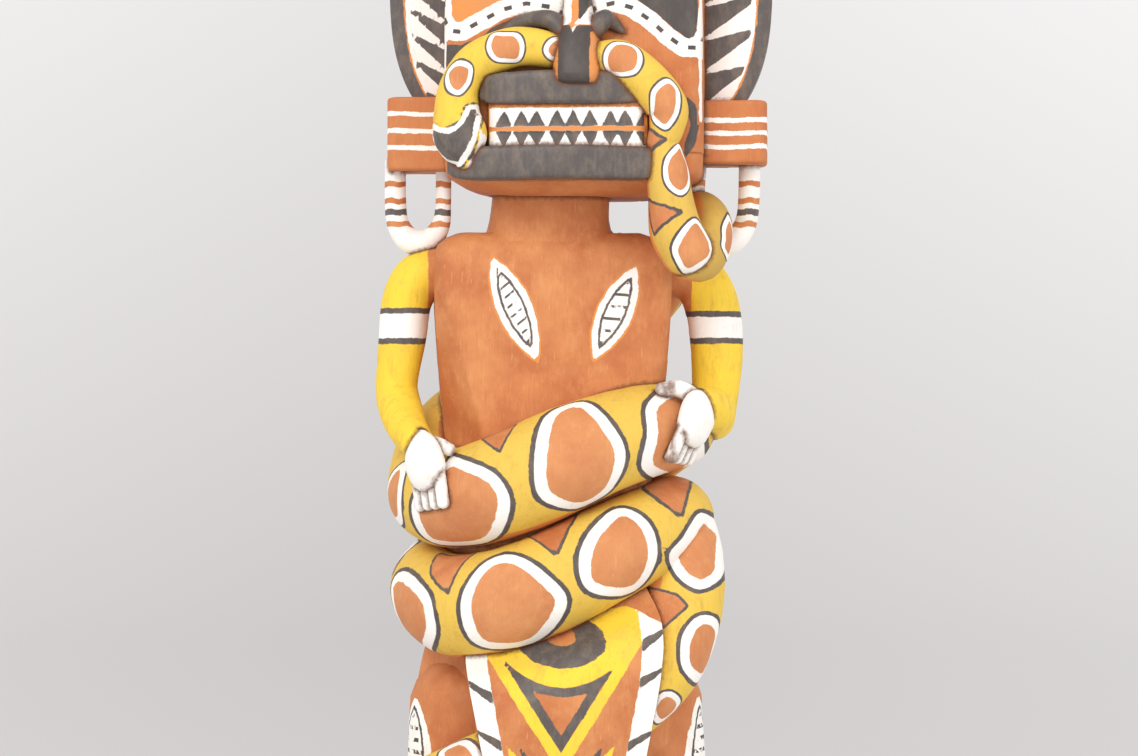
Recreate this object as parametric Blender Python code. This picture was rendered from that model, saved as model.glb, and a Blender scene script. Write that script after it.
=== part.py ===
"""A painted malangan carving: a standing spirit figure of wood with a snake that leaves its nose and winds
round its body. It is carved from one log with its low round base, so it is one solid.

The figure is laid out in figure units. One unit is a millimetre on a figure that stands 1070 mm above its
base. X runs to the right as the figure is looked at, -Y is the front and Z is up, from the base's top.
"""

import math

import bpy
import numpy as np
from mathutils import Matrix

# Driving dimensions, in metres
FIGURE_HEIGHT = 1.070
BASE_HEIGHT = 0.045
BASE_MARGIN = 0.022
BASE_CHAMFER = 0.006
BASE_SIDES = 36

UNIT = FIGURE_HEIGHT / 1070

# The middle of the body and of the hips, and the upright line that the head turns about. The carver set the
# head a little to one side and turned it, so that it faces slightly past the figure's right shoulder.
BODY_X = -6
HIP_X = 0
HEAD_X = 17
HEAD_TURN = math.radians(-7)

# Fineness of the facets, in figure units
TUBE_SIDES = 12
SNAKE_SIDES = 12
LOFT_SIDES = 24
FINGER_SIDES = 6


# Basic shapes


def spline(stations, spacing):
    """Rows along a smooth curve through the stations, about `spacing` apart. Columns 0 to 2 are the place."""
    points = np.array(stations, float)
    before = 2 * points[0] - points[1]
    after = 2 * points[-1] - points[-2]
    points = np.vstack([before, points, after])
    rows = []
    for p0, p1, p2, p3 in zip(points, points[1:], points[2:], points[3:]):
        steps = max(1, round(float(np.linalg.norm((p2 - p1)[:3])) / spacing))
        for t in np.arange(steps) / steps:
            rows.append(
                0.5 * (2 * p1 + (p2 - p0) * t + (2 * p0 - 5 * p1 + 4 * p2 - p3) * t**2
                       + (3 * p1 - p0 - 3 * p2 + p3) * t**3)
            )
    rows.append(points[-2])
    return np.array(rows)


def superellipse(half_x, half_y, power, sides):
    """Points round a rounded box, anticlockwise: power 2 is an ellipse and power 8 is nearly a box."""
    angles = (np.arange(sides) + 0.5) * 2 * math.pi / sides
    cos, sin = np.cos(angles), np.sin(angles)
    x = half_x * np.sign(cos) * np.abs(cos) ** (2 / power)
    y = half_y * np.sign(sin) * np.abs(sin) ** (2 / power)
    return np.column_stack([x, y])


def skin(name, rings):
    """A closed mesh object through rings of points, each in figure units, flat at both ends."""
    rings = np.array(rings)
    count, sides, _ = rings.shape
    corners = rings.reshape(-1, 3) * UNIT + [0, 0, BASE_HEIGHT]
    faces = [
        (k * sides + i, k * sides + (i + 1) % sides, (k + 1) * sides + (i + 1) % sides, (k + 1) * sides + i)
        for k in range(count - 1)
        for i in range(sides)
    ]
    faces.append(tuple(reversed(range(sides))))
    faces.append(tuple(range((count - 1) * sides, count * sides)))
    mesh = bpy.data.meshes.new(name)
    mesh.from_pydata(corners.tolist(), [], faces)
    mesh.update()
    return bpy.data.objects.new(name, mesh)


def loft(name, stations, spacing=30, sides=LOFT_SIDES):
    """An upright form. Each station is (x, y, z, half width, half depth, power)."""
    rings = []
    for x, y, z, half_x, half_y, power in spline(stations, spacing):
        ring = superellipse(half_x, half_y, power, sides)
        rings.append(np.column_stack([ring[:, 0] + x, ring[:, 1] + y, np.full(sides, z)]))
    return skin(name, rings)


def tube(name, stations, spacing=20, sides=TUBE_SIDES, flatness=1.0):
    """A round limb or snake. Each station is (x, y, z, radius), and its ends are rounded over.

    Its section is `flatness` times as thick outwards, away from the body's middle, as it is wide.
    """
    rows = spline(stations, spacing)
    places, radii = rows[:, :3], rows[:, 3]
    along = np.gradient(places, axis=0)
    along /= np.linalg.norm(along, axis=1, keepdims=True)
    lean = places[0] - [BODY_X, 0, 0] + [0, -1, 0]
    lean[2] = 0
    outward = []
    for direction in along:
        lean = lean - direction * np.dot(lean, direction)
        lean /= np.linalg.norm(lean)
        outward.append(lean)
    across = np.cross(along, outward)
    angles = (np.arange(sides) + 0.5) * 2 * math.pi / sides
    rings = []

    def add_ring(k, share, shift):
        centre = places[k] + along[k] * shift * radii[k]
        spokes = (
            np.outer(np.cos(angles) * flatness, outward[k]) + np.outer(np.sin(angles), across[k])
        )
        rings.append(centre + spokes * radii[k] * share)

    add_ring(0, 0.5, -0.8)
    for k in range(len(rows)):
        add_ring(k, 1.0, 0.0)
    add_ring(-1, 0.5, 0.8)
    return skin(name, rings)


def panel(name, rows, across=9):
    """A thick carved board. Each row is (z, middle x, half width, front y at the middle, bow, thickness)."""
    rings = []
    for z, x, half, front, bow, thickness in rows:
        share = np.linspace(-1, 1, across)
        face = front + bow * share**2
        fronts = np.column_stack([x + half * share, face, np.full(across, z)])
        backs = np.column_stack([x + half * share, face + thickness, np.full(across, z)])
        rings.append(np.vstack([fronts, backs[::-1]]))
    return skin(name, rings)


def on_head(form):
    """Moves a form that is laid out about the head's own middle to its place on the figure."""
    form.data.transform(Matrix.Translation((HEAD_X * UNIT, 0, 0)) @ Matrix.Rotation(HEAD_TURN, 4, "Z"))
    return form


# The body


def torso():
    return loft("torso", [
        (HIP_X, 2, 262, 98, 46, 3.0),
        (HIP_X, 2, 300, 111, 54, 3.0),
        (HIP_X, 2, 350, 108, 56, 3.0),
        (BODY_X, 2, 410, 88, 58, 3.0),
        (BODY_X, 0, 480, 78, 54, 4.0),
        (BODY_X + 1, 0, 540, 83, 51, 6.0),
        (BODY_X + 2, 0, 600, 89, 50, 8.0),
        (BODY_X + 2, 0, 660, 92, 49, 8.0),
        (BODY_X + 1, 0, 686, 88, 44, 5.5),
        (BODY_X, 0, 695, 72, 34, 4.0),
    ], spacing=60)


def neck():
    return loft("neck", [
        (BODY_X, 0, 670, 48, 42, 4.0),
        (BODY_X, 0, 700, 46, 41, 4.0),
        (BODY_X + 3, 0, 745, 45, 41, 4.0),
    ])


def leg(side):
    """Side is -1 for the figure's right leg, on the left as it is looked at, and +1 for the other."""
    return tube(f"leg_{side}", [
        (HIP_X + side * 67, 4, 330, 47),
        (HIP_X + side * 72, -2, 290, 44),
        (HIP_X + side * 75, -10, 240, 40),
        (HIP_X + side * 75, -14, 190, 35),
        (HIP_X + side * 75, -3, 140, 36),
        (HIP_X + side * 73, 3, 90, 31),
        (HIP_X + side * 72, 4, 40, 26),
        (HIP_X + side * 72, 4, 8, 27),
    ], spacing=40)


FOOT_X = 72
FOOT_HALF_WIDTH = 27
FOOT_HEEL_Y = 36
FOOT_TOE_Y = -88
FOOT_SINK = 3


# Rings from the heel to the toes: the share of the foot's length, the share of its width, and the height
FOOT_RINGS = [(0, 0.7, 30), (0.12, 0.92, 38), (0.4, 0.95, 38), (0.7, 1.0, 27), (0.92, 1.0, 19), (1, 0.8, 13)]


def foot(side):
    """The rings stand upright, and the sole is let into the base."""
    middle = HIP_X + side * FOOT_X
    rings = []
    for share, width, height in FOOT_RINGS:
        ring = superellipse(FOOT_HALF_WIDTH * width, (height + FOOT_SINK) / 2, 3.5, 16)
        y = FOOT_HEEL_Y + (FOOT_TOE_Y - FOOT_HEEL_Y) * share
        z = ring[:, 1] + (height - FOOT_SINK) / 2
        rings.append(np.column_stack([ring[:, 0] + middle, np.full(16, y), z]))
    return skin(f"foot_{side}", rings)


# The arms at the left and at the right as the figure is looked at: the upper arm, then the forearm
ARM_LEFT = [
    (-70, 0, 660, 19), (-90, 0, 665, 20), (-106, 0, 660, 20.5), (-116, 0, 643, 19.5), (-120, 0, 612, 18.5),
    (-124, 0, 580, 16.5), (-123, -2, 564, 17),
]
FOREARM_LEFT = [(-123, 3, 576, 15), (-122, -10, 562, 17), (-116, -36, 545, 15.5), (-108, -62, 533, 13)]
ARM_RIGHT = [
    (60, 0, 660, 19), (88, 0, 666, 20), (108, 0, 661, 21), (120, 0, 644, 21.5), (125, 0, 612, 21),
    (124.5, 0, 580, 19), (122, -2, 555, 18),
]
FOREARM_RIGHT = [(122, 5, 551, 17), (120, -10, 553, 18.5), (116, -36, 559, 18), (107, -62, 562, 14)]
HAND_LEFT = [(-108, -62, 533, 13), (-106, -72, 524, 16.5), (-103, -79, 515, 16)]
HAND_RIGHT = [(107, -62, 562, 13.5), (105, -70, 556, 17), (101, -74, 546, 16)]
THUMB_LEFT = [(-106, -66, 532, 6.5), (-95, -72, 533, 6), (-84, -74, 529, 5)]
THUMB_RIGHT = [(104, -64, 568, 7), (90, -68, 575, 6.5), (76, -66, 574, 5.5)]
FINGERS = 4
FINGER_PITCH = 7.4
FINGER_RADIUS = 4.4


def hand(name, stations, reach, thumb):
    """The back of a hand, its fingers, which lie over the snake and point along `reach`, and its thumb."""
    solids = [tube(name, stations, spacing=8, sides=10, flatness=0.6)]
    knuckle = np.array(stations[-1][:3], float)
    reach = np.array(reach, float)
    outward = knuckle - [BODY_X, 0, knuckle[2]]
    outward /= np.linalg.norm(outward)
    across = np.cross(reach, outward)
    across /= np.linalg.norm(across)
    for i in range(FINGERS):
        start = knuckle + across * (i - (FINGERS - 1) / 2) * FINGER_PITCH
        bend = start + reach * 0.55 - outward
        tip = start + reach * 1.1 - outward * 2
        finger = [(*place, FINGER_RADIUS) for place in (start, bend, tip)]
        solids.append(tube(f"{name}_finger_{i}", finger, spacing=10, sides=FINGER_SIDES))
    solids.append(tube(f"{name}_thumb", thumb, spacing=10, sides=FINGER_SIDES))
    return solids


# The head


def skull():
    return loft("skull", [
        (0, -6, 722, 58, 50, 3.0),
        (0, -4, 728, 80, 64, 4.0),
        (0, -2, 740, 95, 73, 6.0),
        (0, 0, 770, 99, 76, 8.0),
        (0, 0, 920, 98, 76, 7.0),
        (0, 2, 960, 92, 72, 4.5),
        (0, 4, 992, 78, 64, 3.2),
        (0, 4, 1014, 56, 50, 2.6),
        (0, 4, 1024, 30, 30, 2.4),
    ], spacing=60)


def muzzle():
    """The block of teeth, standing forward of the face."""
    return loft("muzzle", [
        (-2, -60, 734, 56, 24, 5.0),
        (-2, -60, 744, 61, 38, 6.0),
        (-2, -60, 806, 60, 38, 6.0),
        (-2, -60, 812, 54, 28, 5.0),
    ], spacing=60, sides=20)


def lip(name, z, left, right, bow):
    """A rounded bar along the mouth, from left to right, that bows forward in the middle."""
    middle = (left + right) / 2
    return tube(name, [
        (left, -86 + bow, z, 9),
        (left + 12, -89 + bow / 2, z, 12.5),
        (middle, -92, z + 1, 13),
        (right - 12, -89 + bow / 2, z, 12.5),
        (right, -86 + bow, z, 9),
    ], spacing=22)


def nose():
    return loft("nose", [
        (7, -84, 804, 14, 24, 3.0),
        (7, -84, 812, 16.5, 28, 3.0),
        (6, -82, 832, 15, 24, 2.6),
        (4, -76, 862, 11, 18, 2.4),
        (3, -72, 892, 9, 13, 2.2),
        (3, -68, 914, 10, 10, 2.2),
    ], spacing=20, sides=16)


def nostril_wing(side):
    """The flared rim that arches over the snake where it leaves the nose."""
    return tube(f"nostril_wing_{side}", [
        (5 + side * 10, -88, 842, 8),
        (5 + side * 22, -86, 853, 7),
        (4 + side * 40, -79, 850, 5.5),
        (3 + side * 60, -73, 840, 4),
    ], spacing=14, sides=8)


def eye(side):
    return tube(f"eye_{side}", [
        (2 + side * 26, -70, 888, 6),
        (2 + side * 46, -72, 893, 13),
        (2 + side * 68, -70, 889, 6),
    ], spacing=11, sides=10)


def brow():
    return tube("brow", [
        (-92, -64, 905, 8),
        (-46, -71, 925, 11),
        (2, -72, 917, 12),
        (50, -71, 925, 11),
        (92, -64, 905, 8),
    ], spacing=16, sides=8)


CREST_TOP = 1070
CREST_HALF_THICKNESS = 15
CREST_MIDDLE_Y = 4
CREST_MIDDLE_Z = 952


def crest():
    """The ridge of the headdress, which runs from the brow over the top to the back of the head."""
    rings = []
    for degrees in np.linspace(218, -38, 13):
        lean = math.radians(degrees)
        middle = np.array([CREST_MIDDLE_Y, CREST_MIDDLE_Z])
        outer = middle + [-88 * math.cos(lean), (CREST_TOP - CREST_MIDDLE_Z) * math.sin(lean)]
        inner = middle + [-48 * math.cos(lean), 40 * math.sin(lean)]
        shoulder = 0.88 * outer + 0.12 * inner
        thick = CREST_HALF_THICKNESS
        right = [(thick, *inner), (thick, *shoulder), (thick * 0.5, *outer)]
        left = [(-x, y, z) for x, y, z in reversed(right)]
        rings.append(right + left)
    return skin("crest", rings)


FAN_MIDDLE_X = 3
FAN_MIDDLE_Z = 900
FAN_REACH = 148
FAN_BELOW = 146
FAN_ABOVE = 128
FAN_FRONT_Y = -24
FAN_THICKNESS = 17
FAN_ROOT_X = 40


def ear_fan(side):
    """The tall leaf-shaped ear, a thick board that stands out from the side of the head."""
    rows = []
    for share in np.linspace(-0.985, 0.985, 15):
        z = FAN_MIDDLE_Z + share * (FAN_BELOW if share < 0 else FAN_ABOVE)
        reach = FAN_REACH * (1 - abs(share) ** 3) ** (1 / 3)
        middle = FAN_MIDDLE_X + side * (reach + FAN_ROOT_X) / 2
        rows.append((z, middle, (reach - FAN_ROOT_X) / 2, FAN_FRONT_Y, 0, FAN_THICKNESS))
    return panel(f"ear_fan_{side}", rows, across=3)


EAR_BLOCK_Z = 768
EAR_BLOCK_Y = -14
EAR_BLOCK_HALF_DEPTH = 26


def ear_block(side, outer_x, half_height):
    inner_x = 84
    middle = side * (outer_x + inner_x) / 2
    half = (outer_x - inner_x) / 2
    rows = []
    for rise, inset in ((-half_height, 3), (3 - half_height, 0), (half_height - 3, 0), (half_height, 3)):
        depth = EAR_BLOCK_HALF_DEPTH - inset
        rows.append((middle, EAR_BLOCK_Y, EAR_BLOCK_Z + rise, half - inset, depth, 7.0))
    return loft(f"ear_block_{side}", rows, spacing=90, sides=20)


def ear_pendant(side, outer_x, inner_x, top_y, low_y):
    """The striped ring under the ear, which joins the ear block to the shoulder."""
    middle_x = (outer_x + inner_x) / 2
    middle_y = (top_y + low_y) / 2
    return tube(f"ear_pendant_{side}", [
        (outer_x, top_y, 750, 8.5),
        (outer_x, middle_y, 718, 8.5),
        (outer_x - side * 2, low_y, 702, 9),
        ((outer_x + middle_x) / 2, low_y, 691, 10),
        (middle_x, low_y, 688, 10.5),
        ((inner_x + middle_x) / 2, low_y, 691, 9.5),
        (inner_x + side * 2, low_y, 702, 7.5),
        (inner_x, middle_y, 718, 6.2),
        (inner_x, top_y, 750, 6.5),
    ], spacing=28, sides=8)


# The snake. Its stations on the body are (degrees round the body from the figure's left, height, radius).

COIL_X = BODY_X - 1
COIL_HALF_X = 87
COIL_HALF_Y = 74
COIL_RIGHT_BULGE = 12


def coil(stations):
    """Places along the snake where it winds round the waist. The ring is wider at the right."""
    places = []
    for turn, z, radius in stations:
        cos = math.cos(math.radians(turn))
        half_x = COIL_HALF_X + COIL_RIGHT_BULGE * max(0, cos) ** 2
        places.append((COIL_X + half_x * cos, COIL_HALF_Y * math.sin(math.radians(turn)), z, radius))
    return places


# On the face, about the head's own middle
FACE_SNAKE_LEFT = [
    (6, -82, 824, 12), (-14, -88, 829, 13.5), (-32, -90, 832, 14.5), (-49, -89, 830, 15.5),
    (-72, -86, 820, 15), (-84, -84, 802, 15.5), (-86, -86, 783, 17.5), (-83, -91, 765, 20.5),
    (-81, -95, 752, 15), (-79, -96, 745, 7),
]
# From the nose down the cheek to the front of the shoulder
FACE_SNAKE_RIGHT = [
    (13, -82, 820, 12), (30, -91, 822, 14), (45, -96, 820, 15.5), (63, -98, 805, 16.5), (78, -97, 786, 16),
    (78, -96, 771, 13.5), (75, -95, 760, 12), (77, -94, 750, 13.5), (79, -94, 736, 16), (81, -94, 718, 17),
    (85, -93, 694, 20), (94, -91, 677, 20),
]
# Up over the shoulder and down across the back
SHOULDER_CURL = [
    (93, -88, 671, 15), (104, -80, 674, 19), (112, -68, 685, 18), (115, -52, 700, 17), (112, -34, 709, 16.5),
    (108, -12, 711, 17), (106, 14, 702, 18), (99, 40, 682, 21), (82, 62, 655, 25), (50, 78, 626, 29),
    (12, 84, 599, 32), (-30, 78, 574, 35),
]
UPPER_COIL = [
    (150, 532, 36), (180, 499, 37.5), (205, 492, 38.5), (225, 493, 38.5), (243, 500, 39.5), (259, 509, 40),
    (274, 520, 40), (294, 532, 38), (319, 542, 36), (345, 546, 34), (375, 542, 33), (405, 520, 34),
]
LOWER_COIL = [
    (450, 478, 35), (495, 440, 35), (530, 424, 34.5), (552, 416, 36), (572, 410, 39), (585, 410, 39.5),
    (603, 414, 39.5), (619, 422, 39), (634, 432, 38.5), (654, 447, 37.5), (679, 463, 35.5), (705, 474, 33),
    (735, 472, 30),
]
TAIL = [
    (86, 4, 484, 26), (92, -18, 462, 32), (94, -36, 430, 34), (89, -46, 398, 34), (75, -58, 366, 33),
    (46, -68, 338, 32), (8, -74, 316, 31), (-34, -76, 297, 30), (-74, -68, 279, 29), (-106, -38, 262, 27),
    (-118, 0, 250, 25), (-108, 34, 240, 22), (-84, 50, 231, 19), (-58, 50, 224, 15), (-38, 42, 219, 11),
    (-26, 34, 216, 6),
]


def snake():
    body = SHOULDER_CURL + coil(UPPER_COIL + LOWER_COIL)
    return [
        on_head(tube("snake_head", FACE_SNAKE_LEFT, spacing=12, sides=SNAKE_SIDES)),
        tube("snake_neck", FACE_SNAKE_RIGHT, spacing=15, sides=SNAKE_SIDES),
        tube("snake_body", body, spacing=22, sides=SNAKE_SIDES),
        tube("snake_tail", TAIL, spacing=29, sides=SNAKE_SIDES),
    ]


def apron():
    """The panel that hangs before the legs from under the coils."""
    return panel("apron", [
        (188, 0, 15, -91, 5, 15),
        (202, 0, 29, -96, 8, 18),
        (228, 0, 41, -103, 10, 20),
        (262, 0, 52, -110, 12, 22),
        (299, 1, 61, -116, 14, 24),
        (330, 1, 67, -118, 14, 28),
        (352, 1, 71, -116, 13, 32),
        (370, 1, 73, -107, 12, 34),
        (386, 2, 73, -95, 11, 32),
        (406, 3, 70, -84, 10, 32),
        (428, 3, 60, -70, 8, 30),
    ])


# The base


def base_radius():
    """The base reaches past the corners of the toes by its margin."""
    toe = math.hypot(abs(HIP_X) + FOOT_X + FOOT_HALF_WIDTH * 0.8, FOOT_TOE_Y)
    return toe * UNIT + BASE_MARGIN


def base():
    """A low round block. It is laid out in metres here, so its rings are turned into figure units."""
    radius = base_radius()
    profile = [
        (radius - BASE_CHAMFER, 0),
        (radius, BASE_CHAMFER),
        (radius, BASE_HEIGHT - BASE_CHAMFER),
        (radius - BASE_CHAMFER, BASE_HEIGHT),
    ]
    angles = np.arange(BASE_SIDES) * 2 * math.pi / BASE_SIDES
    rings = [
        np.column_stack([r * np.cos(angles), r * np.sin(angles), np.full(BASE_SIDES, z - BASE_HEIGHT)]) / UNIT
        for r, z in profile
    ]
    return skin("base", rings)


# The whole carving


def painted_wood():
    material = bpy.data.materials.new("red_ochre_on_wood")
    material.use_nodes = True
    shader = material.node_tree.nodes["Principled BSDF"]
    shader.inputs["Base Color"].default_value = (0.47, 0.16, 0.07, 1)
    shader.inputs["Roughness"].default_value = 0.7
    shader.inputs["Metallic"].default_value = 0.0
    return material


def forms():
    """Every form of the carving but the base, each closed and reaching into its neighbours."""
    body = [torso(), neck(), apron()]
    head = [skull(), muzzle(), nose(), brow(), crest()]
    head.append(lip("upper_lip", 800, -62, 54, 4))
    head.append(lip("lower_lip", 744, -73, 63, 6))
    for side in (-1, 1):
        body += [leg(side), foot(side)]
        head += [eye(side), nostril_wing(side), ear_fan(side)]
    head.append(ear_block(-1, 146, 28.5))
    head.append(ear_block(1, 147, 24.5))
    body.append(ear_pendant(-1, -125, -88, 0, 0))
    body.append(ear_pendant(1, 148, 108, -27, -12))
    body.append(tube("arm_left", ARM_LEFT, spacing=20))
    body.append(tube("forearm_left", FOREARM_LEFT, spacing=18))
    body.append(tube("arm_right", ARM_RIGHT, spacing=20))
    body.append(tube("forearm_right", FOREARM_RIGHT, spacing=18))
    body += hand("hand_left", HAND_LEFT, (2, -2, -24), THUMB_LEFT)
    body += hand("hand_right", HAND_RIGHT, (-8, 3, -22), THUMB_RIGHT)
    return body + [on_head(form) for form in head] + snake()


def main():
    for old in list(bpy.data.objects):
        bpy.data.objects.remove(old)
    carving = base()
    carving.name = "malangan_carving"
    carving.data.materials.append(painted_wood())
    bpy.context.scene.collection.objects.link(carving)

    carved = bpy.data.collections.new("forms")
    bpy.context.scene.collection.children.link(carved)
    for form in forms():
        form.hide_render = True
        form.display_type = "WIRE"
        carved.objects.link(form)

    union = carving.modifiers.new("one_log", "BOOLEAN")
    union.operation = "UNION"
    union.operand_type = "COLLECTION"
    union.collection = carved


main()
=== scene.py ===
import math

import bpy
import numpy as np
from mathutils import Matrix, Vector
from mathutils.kdtree import KDTree


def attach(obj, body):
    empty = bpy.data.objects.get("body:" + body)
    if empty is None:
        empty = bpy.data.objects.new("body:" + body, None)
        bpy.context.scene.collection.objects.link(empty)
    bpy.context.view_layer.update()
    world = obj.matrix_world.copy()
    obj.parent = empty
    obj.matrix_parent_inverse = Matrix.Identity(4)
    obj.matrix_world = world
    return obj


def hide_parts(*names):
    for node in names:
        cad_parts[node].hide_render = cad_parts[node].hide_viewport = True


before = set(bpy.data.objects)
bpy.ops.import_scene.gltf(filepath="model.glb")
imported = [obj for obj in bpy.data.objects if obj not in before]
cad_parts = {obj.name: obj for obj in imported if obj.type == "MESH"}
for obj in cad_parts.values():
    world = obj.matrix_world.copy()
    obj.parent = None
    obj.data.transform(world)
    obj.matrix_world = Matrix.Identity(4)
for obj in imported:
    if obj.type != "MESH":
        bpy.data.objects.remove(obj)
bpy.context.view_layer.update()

# The figure is laid out in figure units: a millimetre on a figure 1070 mm tall, with z measured from the
# base's top. x runs to the right as the carving is looked at, and -y is the front
figure = {
    "height": 1.070,
    "baseHeight": 0.045,
    "bodyX": -6,
    "hipX": 0,
    "headX": 17,
    "headTurn": math.radians(-7),
    "facetWidth": 15,  # width of a knife facet
    "facetLength": 34,  # and its length, along the log
}
unit = figure["height"] / 1070
turnCos, turnSin = math.cos(figure["headTurn"]), math.sin(figure["headTurn"])
bodyX, hipX = figure["bodyX"], figure["hipX"]

# The camera stands where the photographer stood. The same numbers place painted marks that are known by
# their pixel in the photograph, which is 1138 by 756.
view = {
    "target": (0.005, -0.09, 0.628),
    "distance": 2.4,
    "azimuth": math.radians(-3),
    "sensor": 36.0,
    "frameWidth": 0.8535,  # metres across the frame at the target
    "pixelsWide": 1138,
    "pixelsHigh": 756,
}
aim = np.array(view["target"]) / unit - [0, 0, figure["baseHeight"] / unit]
right = np.array([math.cos(view["azimuth"]), math.sin(view["azimuth"]), 0])
ahead = np.array([-math.sin(view["azimuth"]), math.cos(view["azimuth"]), 0])


def headToWorld(points):
    points = np.asarray(points, float)
    x, y, z = points[..., 0], points[..., 1], points[..., 2]
    return np.stack([figure["headX"] + x * turnCos - y * turnSin, x * turnSin + y * turnCos, z], axis=-1)


def worldToHead(points):
    x, y, z = points[..., 0] - figure["headX"], points[..., 1], points[..., 2]
    return np.stack([x * turnCos + y * turnSin, -x * turnSin + y * turnCos, z], axis=-1)


def toPhoto(points):
    # Pixel column and row where a point in figure units shows
    away = points - aim
    depth = view["distance"] / unit + away @ ahead
    scale = view["pixelsWide"] * view["distance"] / view["frameWidth"] / depth
    return view["pixelsWide"] / 2 + away @ right * scale, view["pixelsHigh"] / 2 - away[:, 2] * scale


# Curves and closed shapes

forms = []
domeAngles, domeHeight = (78, 60, 40, 20), 0.82


def curvePoint(p0, p1, p2, p3, t):
    # A point on the smooth curve through p1 and p2
    return 0.5 * (2 * p1 + (p2 - p0) * t + (2 * p0 - 5 * p1 + 4 * p2 - p3) * t**2
                  + (3 * p1 - p0 - 3 * p2 + p3) * t**3)


def spline(stations, spacing):
    points = np.array(stations, float)
    points = np.vstack([2 * points[0] - points[1], points, 2 * points[-1] - points[-2]])
    rows = []
    for p0, p1, p2, p3 in zip(points, points[1:], points[2:], points[3:]):
        steps = max(1, round(float(np.linalg.norm((p2 - p1)[:3])) / spacing))
        rows += [curvePoint(p0, p1, p2, p3, t) for t in np.arange(steps) / steps]
    rows.append(points[-2])
    return np.array(rows)


def closedCurve(corners, steps=5):
    corners = np.asarray(corners, float)
    out = []
    for k in range(len(corners)):
        near = [corners[(k + j) % len(corners)] for j in (-1, 0, 1, 2)]
        out += [curvePoint(*near, t) for t in np.arange(steps) / steps]
    return np.array(out)


def roundedBox(halfX, halfY, power, sides, frontShare=1.0):
    # Points round a rounded box, evenly spaced, or closer together by frontShare along its front
    angles = np.linspace(0, 2 * math.pi, 1441) - math.pi / 2
    cos, sin = np.cos(angles), np.sin(angles)
    ring = np.column_stack([
        halfX * np.sign(cos) * np.abs(cos) ** (2 / power),
        halfY * np.sign(sin) * np.abs(sin) ** (2 / power),
    ])
    steps = np.linalg.norm(np.diff(ring, axis=0), axis=1)
    steps *= np.where(ring[1:, 1] < -0.6 * halfY, frontShare, 1.0)
    run = np.concatenate([[0], np.cumsum(steps)])
    wanted = np.arange(sides) / sides * run[-1]
    return np.column_stack([np.interp(wanted, run, ring[:, 0]), np.interp(wanted, run, ring[:, 1])])


def addForm(name, rings, paint, facet=0.3, line=None, shape=None, onHead=False):
    # Keeps one closed form: rings of points, the paint on it, and how deep the knife facets are
    rings = np.array(rings, float)
    if onHead:
        rings = headToWorld(rings)
    forms.append({"name": name, "rings": rings, "paint": paint, "facet": facet, "line": line, "shape": shape})


def loft(name, stations, spacing, sides, paint, facet=0.3, onHead=False, frontShare=1.0, shape=None):
    # Upright forms. Each station is (x, y, z, half width, half depth, power).
    rings = []
    for x, y, z, halfX, halfY, power in spline(stations, spacing):
        ring = roundedBox(halfX, halfY, power, sides, frontShare)
        rings.append(np.column_stack([ring[:, 0] + x, ring[:, 1] + y, np.full(sides, z)]))
    addForm(name, rings, paint, facet, shape=shape, onHead=onHead)


def tube(name, stations, spacing, sides, paint, facet=0.3, onHead=False, flatness=1.0, facing=None,
         power=2.0):
    # Limbs and the snake. Each station is (x, y, z, radius), and both ends are domed.
    rows = spline(stations, spacing)
    places, radii = rows[:, :3], rows[:, 3]
    if onHead:
        places = headToWorld(places)
    along = np.gradient(places, axis=0)
    along /= np.linalg.norm(along, axis=1, keepdims=True)
    lean = places[0] - [bodyX, 0, 0] + [0, -1, 0]
    lean[2] = 0
    outward = []
    for direction in along:
        lean = lean - direction * np.dot(lean, direction)
        lean = lean / np.linalg.norm(lean)
        outward.append(lean)
    outward = np.array(outward)
    across = np.cross(along, outward)
    angles = (np.arange(sides) + 0.5) * 2 * math.pi / sides
    cos, sin = [np.sign(v) * np.abs(v) ** (2 / power) for v in (np.cos(angles), np.sin(angles))]
    spokes = cos[None, :, None] * flatness * outward[:, None, :] + sin[None, :, None] * across[:, None, :]
    # The domes at both ends: how wide each of their rings is, and how far out it lies, in radii
    wide = [math.cos(a) for a in np.radians(domeAngles)]
    far = [domeHeight * math.sin(a) for a in np.radians(domeAngles)]
    ends = len(wide)
    before = [places[0] - along[0] * out * radii[0] for out in far]
    after = [places[-1] + along[-1] * out * radii[-1] for out in reversed(far)]
    rings = [place + spokes[0] * radii[0] * share for place, share in zip(before, wide)]
    rings += [places[k] + spokes[k] * radii[k] for k in range(len(rows))]
    rings += [place + spokes[-1] * radii[-1] * share for place, share in zip(after, reversed(wide))]
    # The line that the paint follows has a row for each ring
    centres = np.vstack([before, places, after])
    tangents = np.vstack([[along[0]] * ends, along, [along[-1]] * ends])
    if facing is None:
        out = centres - [bodyX, 0, 0]
        out[:, 2] = 0
    else:
        out = np.tile(np.array(facing, float), (len(centres), 1))
    out -= tangents * np.sum(out * tangents, axis=1, keepdims=True)
    out /= np.linalg.norm(out, axis=1, keepdims=True)
    rise = np.cross(tangents, out)
    if np.mean(rise[:, 2]) < 0:
        rise = -rise
    allRadii = np.concatenate([[radii[0]] * ends, radii, [radii[-1]] * ends])
    # The run is measured along the skin that faces out
    steps = np.linalg.norm(np.diff(centres + out * allRadii[:, None], axis=0), axis=1)
    line = {
        "centres": centres, "tangents": tangents, "out": out, "rise": rise, "radii": allRadii,
        "run": np.concatenate([[0], np.cumsum(steps)]),
    }
    addForm(name, rings, paint, facet, line=line)


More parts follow.
